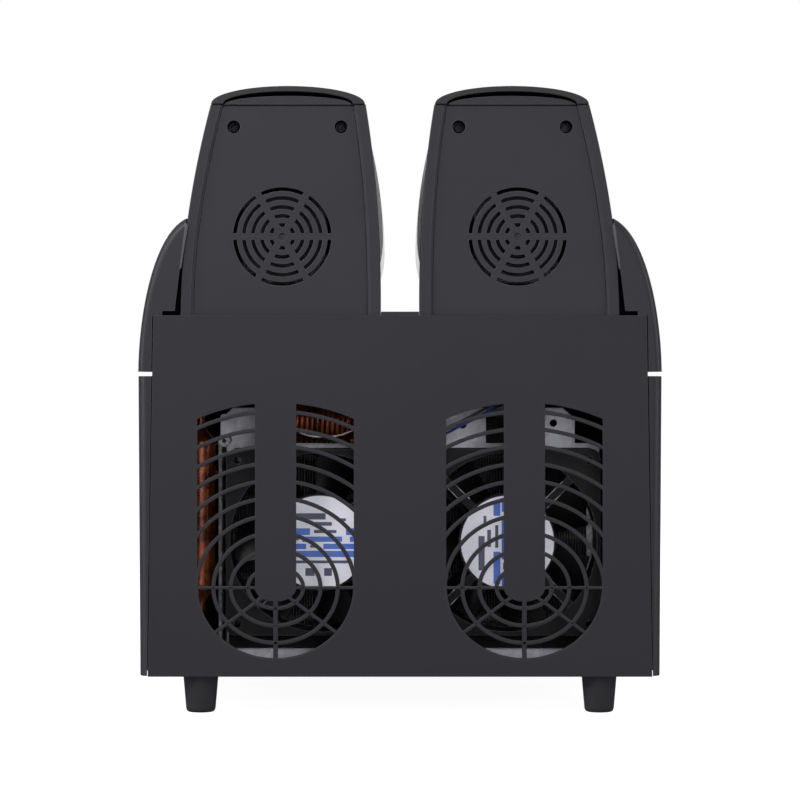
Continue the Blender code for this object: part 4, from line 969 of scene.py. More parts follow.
def ventRing(index):
    # six curved slots, their ends parallel to the spokes between them
    middle = vent["rings"][index]
    outer, inner = middle + vent["slot"] / 2, middle - vent["slot"] / 2
    steps = (14, 12, 10, 7, 4)[index]
    slots = []
    for k in range(6):
        start, end = 60 * k, 60 * k + 60
        trimOuter, trimInner = (math.degrees(math.asin(vent["spoke"] / 2 / r)) for r in (outer, inner))
        rim = arc((vent["x"], vent["z"]), outer, outer, start + trimOuter, end - trimOuter, steps)
        back = arc((vent["x"], vent["z"]), inner, inner, end - trimInner, start + trimInner, steps)
        slots.append(rim + back)
    return slots


def makeTowerCap(side, sign):
    t = tower
    foot = t["top"] + casing["gap"]
    center = (t["archX"], foot)
    arch = arc(center, t["capHalf"], t["capRise"], 0, 180, 64)
    under = arc(center, t["capHalf"] - t["capWall"], t["capRise"] - t["capCrown"], 180, 0, 64)
    cap = flatSolid([mirrored(arch + under, sign)], "rear", t["front"] + casing["gap"], 0.2095, 0.0005, 2)
    swapPiece(f"towerCap_{side}", cap, "black_plastic")


# Mixing drive and bowls

drive = {"drum": 0.042, "shaft": 0.005, "bore": 0.0053, "inner": 0.0436, "outer": 0.0565, "pitch": 0.066,
         "turns": 3, "motor": 0.027, "bladeThickness": 0.003, "tilt": 25, "rails": (0.0448, -0.0508)}


def makeDrive(side, sign):
    x, z = sign * tower["axisX"], tower["axisZ"]
    front = tower["front"] + tower["wall"] + casing["gap"]
    gearbox = block((x - 0.028, front, z - 0.03), (x + 0.028, front + 0.03, z + 0.03), 0.0015, "rear", 0.006)
    wide = drive["motor"]
    can = turned([(0, 0), (wide, 0), (wide, 0.0455), (0.0262, 0.0472), (0.024, 0.048), (0.012, 0.048),
                  (0.0105, 0.0462), (0, 0.0462)], alongY(x, front + 0.027, z), 48)
    bands = [turned([(0.0265, low), (0.0276, low + 0.0005), (0.0276, low + 0.002), (0.0265, low + 0.0025)],
                    alongY(x, front + 0.027, z), 48, ring=True) for low in (0.008, 0.038)]
    bore = rod((x, front - 0.01, z), (x, front + 0.012, z), drive["bore"])
    motor = cut(fused(gearbox, can, *bands), bore)
    swapPiece(f"gearMotor_{side}", motor, "motor_metal")
    # a black rubber cap on the motor's rear end, set there so the vent slots in front of it read dark: painted shade
    cap = [(0.0274, 0.062), (0.0284, 0.0622), (0.0284, 0.0738), (0.027, 0.0758), (0.015, 0.0758),
           (0.014, 0.077), (0.006, 0.077), (0.005, 0.0762), (0, 0.0762), (0, 0.0755), (0.0274, 0.0755)]
    addPiece(f"motorCap_{side}", turned(cap, alongY(x, front, z), 48), "rubber")
    shaft = rod((x, -0.0985, z), (x, front + 0.0115, z), drive["shaft"], 32, 0.0005)
    swapPiece(f"driveShaft_{side}", shaft, "steel", f"mixer_{side}")
    r = drive["drum"]
    drum = [(0.007, 0.1177), (r, 0.1177), (r, 0.11), (r - 0.0006, 0.1092), (r - 0.0006, 0.1078), (r, 0.107),
            (r, -0.074), (0.0415, -0.0775), (0.04, -0.0805), (0.0378, -0.0832), (0.035, -0.0847),
            (0.031, -0.085), (0.007, -0.085)]
    swapPiece(f"evaporator_{side}", turned(drum, alongY(x, 0, z), 72, ring=True), "steel")
    makeAuger(side, x, z)


def makeAuger(side, x, z):
    d = drive
    line = bpy.data.meshes.new("blade")
    line.from_pydata([(d["inner"], 0, 0), (d["outer"], 0, 0)], [(0, 1)], [])
    helper = bpy.data.objects.new("blade", line)
    screw = helper.modifiers.new("Helix", "SCREW")
    screw.screw_offset = d["pitch"]
    screw.iterations = d["turns"]
    screw.steps = screw.render_steps = 48
    thick = helper.modifiers.new("Blade", "SOLIDIFY")
    thick.thickness = d["bladeThickness"]
    thick.offset = 0
    soft = helper.modifiers.new("Edges", "BEVEL")
    soft.width = 0.0008
    soft.segments = 2
    soft.angle_limit = math.radians(60)
    blade = clean(evaluated(helper))
    blade.transform(alongY(x, -0.0925, z))
    tilt = spun(x, z, d["tilt"])
    meshes = [blade]
    for near in d["rails"]:
        rail = block((near, -0.095, -0.003), (near + 0.006, 0.106, 0.003), 0.0008, "side")
        meshes.append(placed(rail, tilt))
    arm = placed(block((-0.0495, -0.0962, -0.0045), (0.0495, -0.0885, 0.0045), 0.001, "rear", 0.003), tilt)
    hub = turned([(0, 0), (0.0075, 0), (0.0105, 0.001), (0.013, 0.004), (0.013, 0.018), (0, 0.018)],
                 alongY(x, -0.106, z), 40)
    hub = cut(hub, rod((x, -0.099, z), (x, -0.08, z), d["bore"]))
    arm = cut(arm, rod((x, -0.099, z), (x, -0.08, z), d["bore"]))
    swapPiece(f"auger_{side}", gathered(*meshes, arm, hub), "white_plastic", f"mixer_{side}")


bowl = {"radius": 0.0635, "wall": 0.003, "front": -0.122, "rear": 0.114, "top": 0.38, "portZ": 0.254,
        "port": 0.008, "lidX": 0.0715, "lidHalf": 0.0505, "lidRise": 0.014}


def bowlOutline(inset, top):
    b, x, z = bowl, tower["axisX"], tower["axisZ"]
    radius = b["radius"] - inset
    bottom = arc((x, z), radius, radius, 180, 360, 48)
    outer = bezier((x + b["radius"], z), (0.1383, 0.335), (0.128, 0.357), (0.1205, b["top"]), 24)
    inner = bezier((x - b["radius"], z), (0.0113, 0.33), (0.0155, 0.352), (0.0225, b["top"]), 24)
    outer = [(u - inset, v) for u, v in outer[1:]]
    inner = [(u + inset, v) for u, v in inner[1:]]
    cap = [(outer[-1][0], top), (inner[-1][0], top)] if top > b["top"] else []
    return bottom + outer + cap + inner[::-1]


def makeBowl(side, sign):
    b = bowl
    x = sign * tower["axisX"]
    shell = flatSolid([mirrored(bowlOutline(0, b["top"]), sign)], "rear", b["front"], b["rear"], 0.0008, 2)
    room = mirrored(bowlOutline(b["wall"], b["top"] + 0.02), sign)
    shell = cut(shell, flatSolid([room], "rear", b["front"] + b["wall"], b["rear"] + 0.02),
                rod((x, -0.13, b["portZ"]), (x, -0.11, b["portZ"]), b["port"]))
    swapPiece(f"bowl_{side}", shell, "clear_plastic", f"bowl_unit_{side}")
    seal = [mirrored(bowlOutline(inset, b["top"]), sign) for inset in (0, b["wall"])]
    seal[1] = [(u, v - b["wall"] if v > b["top"] - 0.0005 else v) for u, v in seal[1]]
    mesh = flatSolid(seal, "rear", b["rear"] + casing["gap"], tower["front"] - casing["gap"], 0.0007, 2)
    swapPiece(f"bowlSeal_{side}", mesh, "seal_rubber")
    makeLid(side, sign)


def makeLid(side, sign):
    b = bowl
    foot = b["top"] + casing["gap"]
    middle = (b["lidX"], foot)
    outer = arc(middle, b["lidHalf"], b["lidRise"], 0, 180, 56)
    lid = flatSolid([mirrored(outer, sign)], "rear", b["front"] - 0.0015, b["rear"], 0.001, 2)
    hollow = arc(middle, 0.0472, 0.011, 0, 180, 48) + [(middle[0] - 0.0472, foot - 0.01),
                                                       (middle[0] + 0.0472, foot - 0.01)]
    lid = cut(lid, flatSolid([mirrored(hollow, sign)], "rear", b["front"] + 0.0015, b["rear"] - 0.003))
    swapPiece(f"lid_{side}", lid, "black_plastic", f"lid_unit_{side}")


# Taps

tap = {"y": -0.139, "radius": 0.015, "bottom": 0.214, "top": 0.3, "bore": 0.0094, "pivotY": -0.157,
       "pivotZ": 0.306, "pin": 0.0022, "springTop": 0.2893, "springLow": 0.2692, "springRadius": 0.0065,
       "wire": 0.0005, "turns": 6.0, "lift": 0.0112}


def makeTap(side, sign):
    t = tap
    x = sign * tower["axisX"]
    y, z = t["y"], t["bottom"]
    body = turned([(0, 0), (t["radius"] - 0.002, 0), (t["radius"] - 0.0008, 0.0006), (t["radius"] - 0.0008, 0.006),
                   (t["radius"], 0.0075), (t["radius"], 0.084), (t["radius"] - 0.0012, 0.0857),
                   (t["radius"] - 0.003, 0.086), (0, 0.086)], at(x, y, z), 48)
    parts = [rod((x, y, bowl["portZ"]), (x, bowl["front"] - 0.0003, bowl["portZ"]), 0.012, 40, 0.0003),
             block((x - 0.013, t["pivotY"] - 0.006, 0.294), (x + 0.013, y - 0.004, 0.2985), 0.0008)]
    for ear in (-1, 1):
        low, high = sorted((x + ear * 0.0102, x + ear * 0.0128))
        outline = rectangle((t["pivotY"] - 0.0055, 0.295), (t["pivotY"] + 0.0055, t["pivotZ"] + 0.005), 0.004, 8)
        parts.append(flatSolid([outline], "side", low, high, 0.0003))
    body = fused(body, *parts)
    body = cut(body, rod((x, y, z - 0.01), (x, y, 0.2903), t["bore"]),
               rod((x, y, bowl["portZ"]), (x, bowl["front"] + 0.01, bowl["portZ"]), bowl["port"]),
               rod((x, y, 0.285), (x, y, 0.31), 0.0034),
               rod((x - 0.02, t["pivotY"], t["pivotZ"]), (x + 0.02, t["pivotY"], t["pivotZ"]), t["pin"] + 0.0003))
    swapPiece(f"tapBody_{side}", body, "black_plastic", f"bowl_unit_{side}")
    plunger = [(0, 0.3115), (0.0044, 0.3115), (0.005, 0.3109), (0.005, 0.3085), (0.003, 0.308), (0.003, 0.268),
               (0.0085, 0.268), (0.009, 0.2675), (0.009, 0.264), (0.0083, 0.2633), (0.0083, 0.2617),
               (0.009, 0.261), (0.009, 0.254), (0.0083, 0.2533), (0.0083, 0.2517), (0.009, 0.251),
               (0.009, 0.247), (0.0085, 0.2458), (0.007, 0.245), (0, 0.245)]
    swapPiece(f"tapPlunger_{side}", turned(plunger, at(x, y, 0), 40), "white_plastic",
              f"plunger_unit_{side}")
    makeLever(side, x)
    spring = runTree(windingTree, {"Turns": t["turns"], "Radius": t["springRadius"], "Wire Radius": t["wire"],
                                   "Height": t["springTop"] - t["springLow"] - 2 * t["wire"], "Steps": 24,
                                   "Material": finishes["steel"]})
    spring.transform(at(x, y, t["springLow"] + t["wire"]))
    piece = swapPiece(f"tapSpring_{side}", spring, "steel", f"bowl_unit_{side}", smooth=60)
    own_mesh(piece)


def makeLever(side, x):
    t = tap
    pin = rod((x - 0.0128, t["pivotY"], t["pivotZ"]), (x + 0.0128, t["pivotY"], t["pivotZ"]), t["pin"], 24, 0.0002)
    fork = [(-0.134, 0.3035), (-0.134, 0.3075), (-0.157, 0.3105), (-0.164, 0.311), (-0.164, 0.3035),
            (-0.157, 0.3015)]
    arms = [flatSolid([fork], "side", *sorted((x + arm * 0.007, x + arm * 0.0096)), 0.0003) for arm in (-1, 1)]
    top = bezier((-0.1615, 0.3106), (-0.172, 0.3125), (-0.18, 0.3185), (-0.189, 0.32), 14)
    under = bezier((-0.195, 0.3165), (-0.186, 0.313), (-0.174, 0.3055), (-0.1615, 0.304), 14)
    handle = flatSolid([top + arc((-0.1925, 0.3183), 0.0024, 0.0024, 75, 230, 8) + under], "side",
                       x - 0.0094, x + 0.0094, 0.0009, 2)
    swapPiece(f"tapLever_{side}", gathered(fused(handle, *arms), pin), "black_plastic", f"lever_unit_{side}")


# Controls and drip tray

controls = {"z": 0.19, "pivotY": -0.094, "spacing": 0.05, "tilt": math.radians(-7), "halfWidth": 0.102,
            "halfHeight": 0.024, "boardFace": -0.0784}
tray = {"half": 0.16, "rear": -0.097, "top": 0.052}


def makeControls():
    c, y = controls, casing["frontPanelY"]
    low, high = c["z"] - c["halfHeight"], c["z"] + c["halfHeight"]
    outline = rectangle((-c["halfWidth"], low), (c["halfWidth"], high), 0.005, 10)
    places = (0, -c["spacing"], c["spacing"])
    windows = [rectangle((x - 0.0068, c["z"] - 0.0106), (x + 0.0068, c["z"] + 0.0106), 0.0008) for x in places]
    plate = flatSolid([outline] + windows, "rear", y - 0.003, y - casing["gap"], 0.0006, 2)
    swapPiece("controlPanel", plate, "gloss_plastic")
    # plain printed marks: a bar over each switch and a ring under it
    marks = []
    for x in places:
        dot = (x, c["z"] - 0.0152)
        for loops in ([rectangle((x - 0.0068, c["z"] + 0.0135), (x + 0.0068, c["z"] + 0.0143), 0.0003)],
                      [circle(dot, 0.0016, 24), circle(dot, 0.0011, 24)]):
            marks.append(flatSolid(loops, "rear", y - 0.0032, y - 0.0029))
    addPiece("panelMarks", gathered(*marks), "gloss_plastic", finish="print")
    for name, x in zip(("power", "left", "right"), places):
        makeRocker(name, x)
    face = c["boardFace"]
    board = block((-0.06, -0.08, 0.166), (0.06, face, 0.214), 0.0003, "rear")
    swapPiece("controlBoard", board, "board_green")
    blocks = [block((x - half, face, 0.18), (x + half, face + height, 0.204), 0.0006, "rear")
              for x, half, height in ((-0.04, 0.01, 0.016), (-0.005, 0.014, 0.02), (0.036, 0.008, 0.012))]
    cans = [turned([(0, 0), (0.0038, 0), (0.0038, 0.011), (0.0033, 0.0115), (0, 0.0115)],
                   alongY(x, face, 0.172), 20) for x in (-0.05, -0.022, 0.018, 0.05)]
    addPiece("boardParts", gathered(*blocks, *cans), "rocker_plastic")


def makeRocker(name, x):
    # a shallow V face, tilted on the power switch
    y, z = controls["pivotY"], controls["z"]
    face = ([(y + 0.004, z - 0.004), (y - 0.002, z - 0.0092)] + [(y - 0.0055, z - 0.0092), (y - 0.0062, z - 0.0085)]
            + bezier((y - 0.006, z - 0.006), (y - 0.0052, z - 0.002), (y - 0.0052, z + 0.002), (y - 0.006, z + 0.006),
                     8)
            + [(y - 0.0062, z + 0.0085), (y - 0.0055, z + 0.0092), (y - 0.002, z + 0.0092), (y + 0.004, z + 0.004)])
    mesh = flatSolid([face], "side", x - 0.0063, x + 0.0063, 0.0004, 2)
    marks = gathered(flatSolid([rectangle((x - 0.0003, z + 0.004), (x + 0.0003, z + 0.0066))], "rear",
                               y - 0.0063, y - 0.0057),
                     flatSolid([circle((x, z - 0.0053), 0.0014, 20), circle((x, z - 0.0053), 0.0009, 20)],
                               "rear", y - 0.0062, y - 0.0055))
    here = at(x, y, z)
    turn = here @ Matrix.Rotation(controls["tilt"], 4, "X") @ here.inverted()
    if name == "power":
        mesh.transform(turn)
        marks.transform(turn)
    swapPiece(f"rocker_{name}", mesh, "rocker_plastic", f"switch_{name}")
    addPiece(f"rockerMarks_{name}", marks, "rocker_plastic", f"switch_{name}", finish="print")


def makeTray():
    t, c = tray, casing
    low = c["baseTop"] + c["gap"]
    outline = rectangle((-t["half"], c["front"]), (t["half"], t["rear"]), 0.004, 8)
    body = flatSolid([outline], "plan", low, t["top"], 0.001, 2)
    room = rectangle((-t["half"] + 0.0025, c["front"] + 0.003), (t["half"] - 0.0025, t["rear"] - 0.0025), 0.003, 6)
    body = cut(body, flatSolid([room], "plan", low + 0.0027, t["top"] + 0.01))
    swapPiece("dripTray", body, "black_plastic", "tray_unit")
    frameLoop = rectangle((-t["half"] + 0.001, c["front"] + 0.0015), (t["half"] - 0.001, t["rear"] - 0.001), 0.003, 6)
    slots = []
    for row in (0, 1):
        near = c["front"] + 0.012 + row * 0.048
        slots += [rectangle((x - 0.0055, near), (x + 0.0055, near + 0.04), 0.004, 6)
                  for x in [(i - 7) * 0.0205 for i in range(15)]]
    grid = flatSolid([frameLoop] + slots, "plan", t["top"] + c["gap"], t["top"] + 0.0028, 0.0005, 2)
    swapPiece("dripGrid", grid, "steel", "grid_unit")


# Cooling

fan = {"z": 0.1063, "places": (-0.0688, 0.0516), "half": 0.0597, "front": 0.1403, "depth": 0.038,
       "opening": 0.057, "hub": 0.0314, "blades": 7, "hole": 0.0022, "holeAt": 0.0525, "strut": 0.003,
       "label": 0.03, "flange": 0.0035}


blade = {"root": 0.0285, "span": 0.0258, "pitch": 50, "twist": 18, "chord": 0.028, "flare": 0.006, "camber": 0.0022,
         "thickness": 0.0013, "steps": 8}


def makeBlade():
    # one cambered, twisted blade, out along X from the hub, its axis along Z
    b, n = blade, blade["steps"]
    work = bmesh.new()
    grid = []
    for i in range(n + 1):
        reach = b["root"] + b["span"] * i / n
        pitch = math.radians(b["pitch"] - b["twist"] * i / n)
        for j in range(n + 1):
            chord = (j / n - 0.5) * (b["chord"] + b["flare"] * i / n)
            camber = b["camber"] * (1 - (2 * j / n - 1) ** 2)
            around = chord * math.cos(pitch) - camber * math.sin(pitch)
            along = chord * math.sin(pitch) + camber * math.cos(pitch)
            angle = around / reach
            grid.append(work.verts.new((reach * math.cos(angle), reach * math.sin(angle), along)))
    for i in range(n):
        for j in range(n):
            a = i * (n + 1) + j
            work.faces.new((grid[a], grid[a + n + 1], grid[a + n + 2], grid[a + 1]))
    helper = bpy.data.objects.new("blade", finished(work))
    thick = helper.modifiers.new("Blade", "SOLIDIFY")
    thick.thickness = b["thickness"]
    thick.offset = 0
    return clean(evaluated(helper))


def makeFan(side, x):
    f = fan
    low, high, z = f["front"], f["front"] + f["depth"], f["z"]
    square = rectangle((x - f["half"], z - f["half"]), (x + f["half"], z + f["half"]), 0.006, 8)
    ring = circle((x, z), f["opening"], 96)
    corners = [(x + u * f["holeAt"], z + v * f["holeAt"]) for u in (-1, 1) for v in (-1, 1)]
    holes = [circle(place, f["hole"], 20) for place in corners]
    flanges = [flatSolid([square, ring] + holes, "rear", a, b, 0.0005)
               for a, b in ((low, low + f["flange"]), (high - f["flange"], high))]
    inner, outer = f["opening"], f["half"] - 0.0002
    barrel = turned([(inner, low + 0.003), (outer, low + 0.003), (outer, high - 0.003), (inner, high - 0.003)],
                    alongY(x, 0, z), 96, ring=True)
    posts = [turned([(0.003, low + 0.003), (0.0048, low + 0.003), (0.0048, high - 0.003), (0.003, high - 0.003)],
                    alongY(u, 0, v), 20, ring=True) for u, v in corners]
    struts = []
    for angle in (45, 135):
        bar = block((-0.058, high - 0.0062, -f["strut"]), (0.058, high - 0.0012, f["strut"]), 0.0006, "side")
        struts.append(placed(bar, spun(x, z, angle)))
    hub = turned([(0, -0.007), (f["hub"], -0.007), (f["hub"], -0.0014), (f["hub"] - 0.0005, -0.0005),
                  (f["hub"] - 0.0013, -0.0003), (f["label"] + 0.0001, -0.0003), (f["label"], -0.0005), (0, -0.0005)],
                 alongY(x, high, z), 72)
    axle = rod((x, low + 0.012, z), (x, high - 0.005, z), 0.003, 20, 0.0003)
    # a plain moulded rib on each flange corner
    rib = block((inner + 0.002, high - 0.01, -0.0009), (inner + 0.014, high - 0.003, 0.0009), 0.0003, "side")
    ribs = [placed(rib, spun(x, z, 45 + 90 * k)) for k in range(4)]
    frameMesh = gathered(*flanges, barrel, *posts, *struts, hub, axle, *ribs)
    swapPiece(f"fanFrame_{side}", frameMesh, "fan_metal")
    # ridges along both edges of each strut, in a light finish that is a painted highlight
    ridges = []
    for k in range(4):
        for edge in (-1, 1):
            start = 0.0335 + 0.003 * ((k + edge) % 3)
            ridge = block((start, high - 0.0014, edge * 0.0025 - 0.00028),
                          (start + 0.016, high - 0.0008, edge * 0.0025 + 0.00028), 0.0001, "side")
            ridges.append(placed(ridge, spun(x, z, 45 + 90 * k)))
    addPiece(f"strutRidges_{side}", gathered(*ridges), "fan_metal", finish="paintedEdgeHighlight")
    makeLabel(side, x)
    front, rear = low + 0.002, high - 0.0082
    middle = (front + rear) / 2
    blades = runTree(turnTree, {"Count": f["blades"], "Material": finishes["fan_plastic"]}, makeBlade())
    blades.transform(alongY(x, middle, z))
    cup = turned([(0.0033, front), (0.028, front), (0.0295, front + 0.0006), (0.03, front + 0.002), (0.03, rear),
                  (0.0285, rear), (0.0285, front + 0.004), (0.0033, front + 0.004)], alongY(x, 0, z), 64, ring=True)
    swapPiece(f"fanRotor_{side}", gathered(cup, blades), "fan_plastic", f"fan_unit_{side}")


def makeLabel(side, x):
    # a round paper label with plain printed bars, turned a quarter on the left fan
    high, z = fan["front"] + fan["depth"], fan["z"]
    place = spun(x, z, 90 if side == "left" else 0)
    disc = turned([(0, 0), (fan["label"] - 0.0002, 0), (fan["label"] - 0.0002, -0.0003), (0, -0.0003)],
                  alongY(0, high - 0.0001, 0), 72)
    disc.transform(place)
    addPiece(f"fanLabel_{side}", disc, "fan_metal", finish="labelPaper")
    blues, inks = [], []
    # rows are (left, right, low, high) in millimetres, as read from behind
    blueRows = [(-26.5, -6.0, 4.6, 9.0), (17.0, 26.5, 4.6, 9.0), (-11.0, 14.5, 0.3, 3.7), (-28.5, -20.0, 0.3, 3.7),
                (19.5, 28.5, 0.3, 3.7), (-21.5, -8.5, -4.4, -0.9), (2.5, 28.0, -4.4, -0.9), (-26.5, 26.5, -9.4, -5.4)]
    inkRows = [(-18.0, 4.0, 14.6, 18.6), (-3.0, 8.0, 10.6, 13.0), (-3.5, 11.0, 5.9, 7.9), (-17.5, -13.0, 1.3, 2.9),
               (-6.0, 0.0, -3.4, -1.9), (-20.0, 20.0, -13.4, -11.6), (-9.0, -3.0, -21.5, -16.5),
               (3.0, 8.0, -21.5, -16.5), (12.0, 17.0, 13.5, 15.4)]
    for rows, found in ((blueRows, blues), (inkRows, inks)):
        for left, right, low, top in rows:
            outline = rectangle((-right / 1000, low / 1000), (-left / 1000, top / 1000), 0.0004, 3)
            found.append(placed(flatSolid([outline], "rear", high - 0.0002, high - 0.00004), place))
    addPiece(f"labelBands_{side}", gathered(*blues), "fan_metal", finish="labelBlue")
    addPiece(f"labelBars_{side}", gathered(*inks), "fan_metal", finish="labelInk")


shroud = {"right": 0.113, "left": -0.13, "top": 0.169, "tabTop": 0.192, "rear": 0.14,
          "footLeft": -0.128, "footRight": 0.111}


def makeShroud():
    s, z = shroud, fan["z"]
    top, tab = s["top"], s["tabTop"]
    loop = [(s["left"], 0.03), (s["right"], 0.03), (s["right"], tab - 0.004), (s["right"] - 0.004, tab),
            (0.089, tab), (0.089, top), (-0.026, top), (-0.026, tab), (-0.056, tab), (-0.056, top),
            (-0.09, top), (-0.09, tab), (-0.106, tab), (-0.114, tab - 0.007), (-0.114, top), (s["left"], top)]
    rings = [circle((x, z), fan["opening"], 72) for x in fan["places"]]
    holes = [circle(place, 0.0024, 20) for place in ((0.106, 0.183), (-0.041, 0.181), (-0.1, 0.182))]
    sheet = flatSolid([loop] + rings + holes, "rear", s["rear"] - 0.0015, s["rear"], 0.0002)
    # a folded lip over each tab and a pressed boss round a rivet
    lips = [block((low, s["rear"] - 0.01, tab - 0.0012), (high, s["rear"] - 0.0002, tab), 0.0003)
            for low, high in ((0.0892, 0.1085), (-0.0558, -0.0262), (-0.1058, -0.0902))]
    boss = turned([(0.0014, 0.0), (0.004, 0.0), (0.004, 0.0006), (0.0034, 0.0014), (0.0026, 0.0014),
                   (0.0022, 0.0005), (0.0014, 0.0005)], alongY(0.1125, 0.1785, 0.1712), 32, ring=True)
    stay = block((0.093, 0.1396, 0.169), (0.117, 0.1408, 0.188), 0.0003, "rear", 0.002)
    post = rod((0.1125, 0.14, 0.1712), (0.1125, 0.1786, 0.1712), 0.003, 24, 0.0003)
    swapPiece("fanShroud", gathered(sheet, *lips, stay), "galvanised")
    addPiece("shroudBoss", boss, "galvanised", finish="speckled")
    addPiece("shroudPost", post, "black_metal")
    # a foam strip under the fans and a folded rail on the base below it
    low, high = s["footLeft"], s["footRight"]
    foam = block((low, 0.1403, 0.0362), (high, 0.15, 0.0462), 0.0008, "rear")
    addPiece("foamStrip", foam, "seal_rubber", finish="foam")
    rail = [block((low, 0.1405, 0.0262), (high, 0.1417, 0.0358), 0.0004, "rear"),
            block((low, 0.1405, 0.0258), (high, 0.165, 0.0268), 0.0004)]
    addPiece("baseRail", gathered(*rail), "galvanised")


condenser = {"left": -0.125, "right": 0.117, "front": 0.1, "rear": 0.1372, "low": 0.036, "high": 0.166,
             "fins": 136, "finThickness": 0.00028, "tube": 0.0038, "rows": 5, "layers": (0.109, 0.128),
             "firstTube": 0.048, "tubePitch": 0.0265, "stagger": 0.006}


def makeCondenser():
    c = condenser
    width = c["right"] - c["left"] - 0.003
    fin = bpy.data.meshes.new("fin")
    work = bmesh.new()
    bmesh.ops.create_cube(work, size=1)
    bmesh.ops.scale(work, vec=(c["finThickness"], c["rear"] - c["front"], c["high"] - c["low"]), verts=work.verts)
    bmesh.ops.translate(work, vec=(c["left"] + 0.0015, (c["front"] + c["rear"]) / 2, (c["low"] + c["high"]) / 2),
                        verts=work.verts)
    finished(work, fin)
    fins = runTree(rowTree, {"Count": c["fins"], "Step": (width / (c["fins"] - 1), 0.0, 0.0),
                             "Material": finishes["aluminium"]}, fin)
    plates = [block((low, 0.096, 0.033), (low + 0.0025, 0.1382, 0.169), 0.0004, "side")
              for low in (-0.1275, 0.116)]
    addPiece("condenserFins", fins, "aluminium", replaced=["condenser"], smooth=20)
    flange = block((-0.1275, 0.1372, 0.033), (-0.1215, 0.1382, 0.169), 0.0004, "rear")
    addPiece("condenserPlates", gathered(*plates, flange), "aluminium", finish="speckled")
    runs = []
    for layer, y in enumerate(c["layers"]):
        for k in range(c["rows"]):
            z = c["firstTube"] + c["tubePitch"] * k + c["stagger"] * layer
            runs.append(rod((-0.1278, y, z), (0.1188, y, z), c["tube"], 20))
    bends = []
    steps = 12
    for k in range(c["rows"]):
        z = c["firstTube"] + c["tubePitch"] * k
        points = []
        for i in range(steps + 1):
            angle = math.pi * i / steps
            points.append(Vector((-0.127 - 0.0075 * math.sin(angle), c["layers"][0] + 0.0095 * (1 - math.cos(angle)),
                                  z + c["stagger"] * i / steps)))
        bends.append(tube(points, c["tube"], 3))
    addPiece("condenserTubes", gathered(*runs, *bends), "copper", finish="tarnished", smooth=60)


compressor = {"x": -0.055, "y": 0.01, "feet": [(x, y) for x in (-0.111, 0.001) for y in (-0.026, 0.046)]}


def makeCompressor():
    center = at(compressor["x"], compressor["y"], 0)
    dome = [(0, 0.186)] + [(0.052 * math.sin(math.radians(a)), 0.15 + 0.036 * math.cos(math.radians(a)))
                            for a in range(6, 91, 7)]
    lower = [(0.052, 0.1125), (0.0555, 0.1112), (0.0555, 0.105), (0.052, 0.1038), (0.0512, 0.065)]
    sole = [(0.05 * math.cos(math.radians(a)), 0.061 - 0.032 * math.sin(math.radians(a))) for a in range(6, 90, 7)]
    can = turned(dome + lower + sole + [(0, 0.029)], center, 64)
    outline = rectangle((-0.12, -0.035), (0.01, 0.055), 0.01, 8)
    holes = [circle(place, 0.004, 20) for place in compressor["feet"]]
    plate = flatSolid([outline] + holes, "plan", casing["baseTop"] + 0.004, 0.03, 0.0002)
    terminal = block((-0.0065, -0.012, 0.08), (0.008, 0.032, 0.118), 0.002, "side", 0.005)
    swapPiece("compressor", gathered(can, plate, terminal), "compressor_black", smooth=40)
    grommet = [(0.0022, 0.0262), (0.0075, 0.0262), (0.0082, 0.0272), (0.0075, 0.0296), (0.004, 0.0296),
               (0.004, 0.0305), (0.0065, 0.031), (0.0022, 0.031)]
    grommets = [turned(grommet, at(*place, 0), 24, ring=True) for place in compressor["feet"]]
    addPiece("compressorGrommets", gathered(*grommets), "rubber")


coil = {"start": 0.031, "length": 0.036, "y": 0.158, "z": 0.1835, "radius": 0.0125, "wire": 0.00125,
        "turns": 11.0}


def makePipes():
    profile = [(0, 0.188), (0.0028, 0.188), (0.0028, 0.1812), (0.0036, 0.179), (0.0056, 0.1762), (0.008, 0.1735),
               (0.0092, 0.1712), (0.0095, 0.169), (0.0095, 0.0795), (0.0091, 0.0768), (0.0078, 0.0742),
               (0.0056, 0.0715), (0.0038, 0.069), (0.003, 0.0665), (0.003, 0.06), (0, 0.06)]
    swapPiece("filterDrier", turned(profile, at(0.1285, 0.165, 0), 48), "copper", smooth=40)
    c = coil
    wound = runTree(windingTree, {"Turns": c["turns"], "Radius": c["radius"], "Height": c["length"],
                                  "Wire Radius": c["wire"], "Steps": 28, "Material": finishes["copper"]})
    wound.transform(at(c["start"], c["y"], c["z"]) @ Matrix.Rotation(math.pi / 2, 4, "Y"))
    swapPiece("capillaryCoil", wound, "copper", smooth=60)
    discharge = [(-0.0025, 0.01, 0.14), (0.03, 0.012, 0.142), (0.07, 0.04, 0.165), (0.115, 0.06, 0.172),
                 (0.137, 0.09, 0.16), (0.137, 0.112, 0.15), (0.1188, 0.115, 0.15)]
    swapPiece("dischargeLine", tube(smoothPath(discharge, 10), 0.003), "copper", smooth=60)
    suction = [(-0.055, 0.01, 0.1866), (-0.055, 0.011, 0.198), (-0.058, 0.03, 0.21), (-0.07, 0.075, 0.213),
               (-0.0748, 0.1, 0.222), (-0.0748, 0.1002, 0.2325)]
    swapPiece("suctionLine", tube(smoothPath(suction, 10), 0.004), "copper", smooth=60)


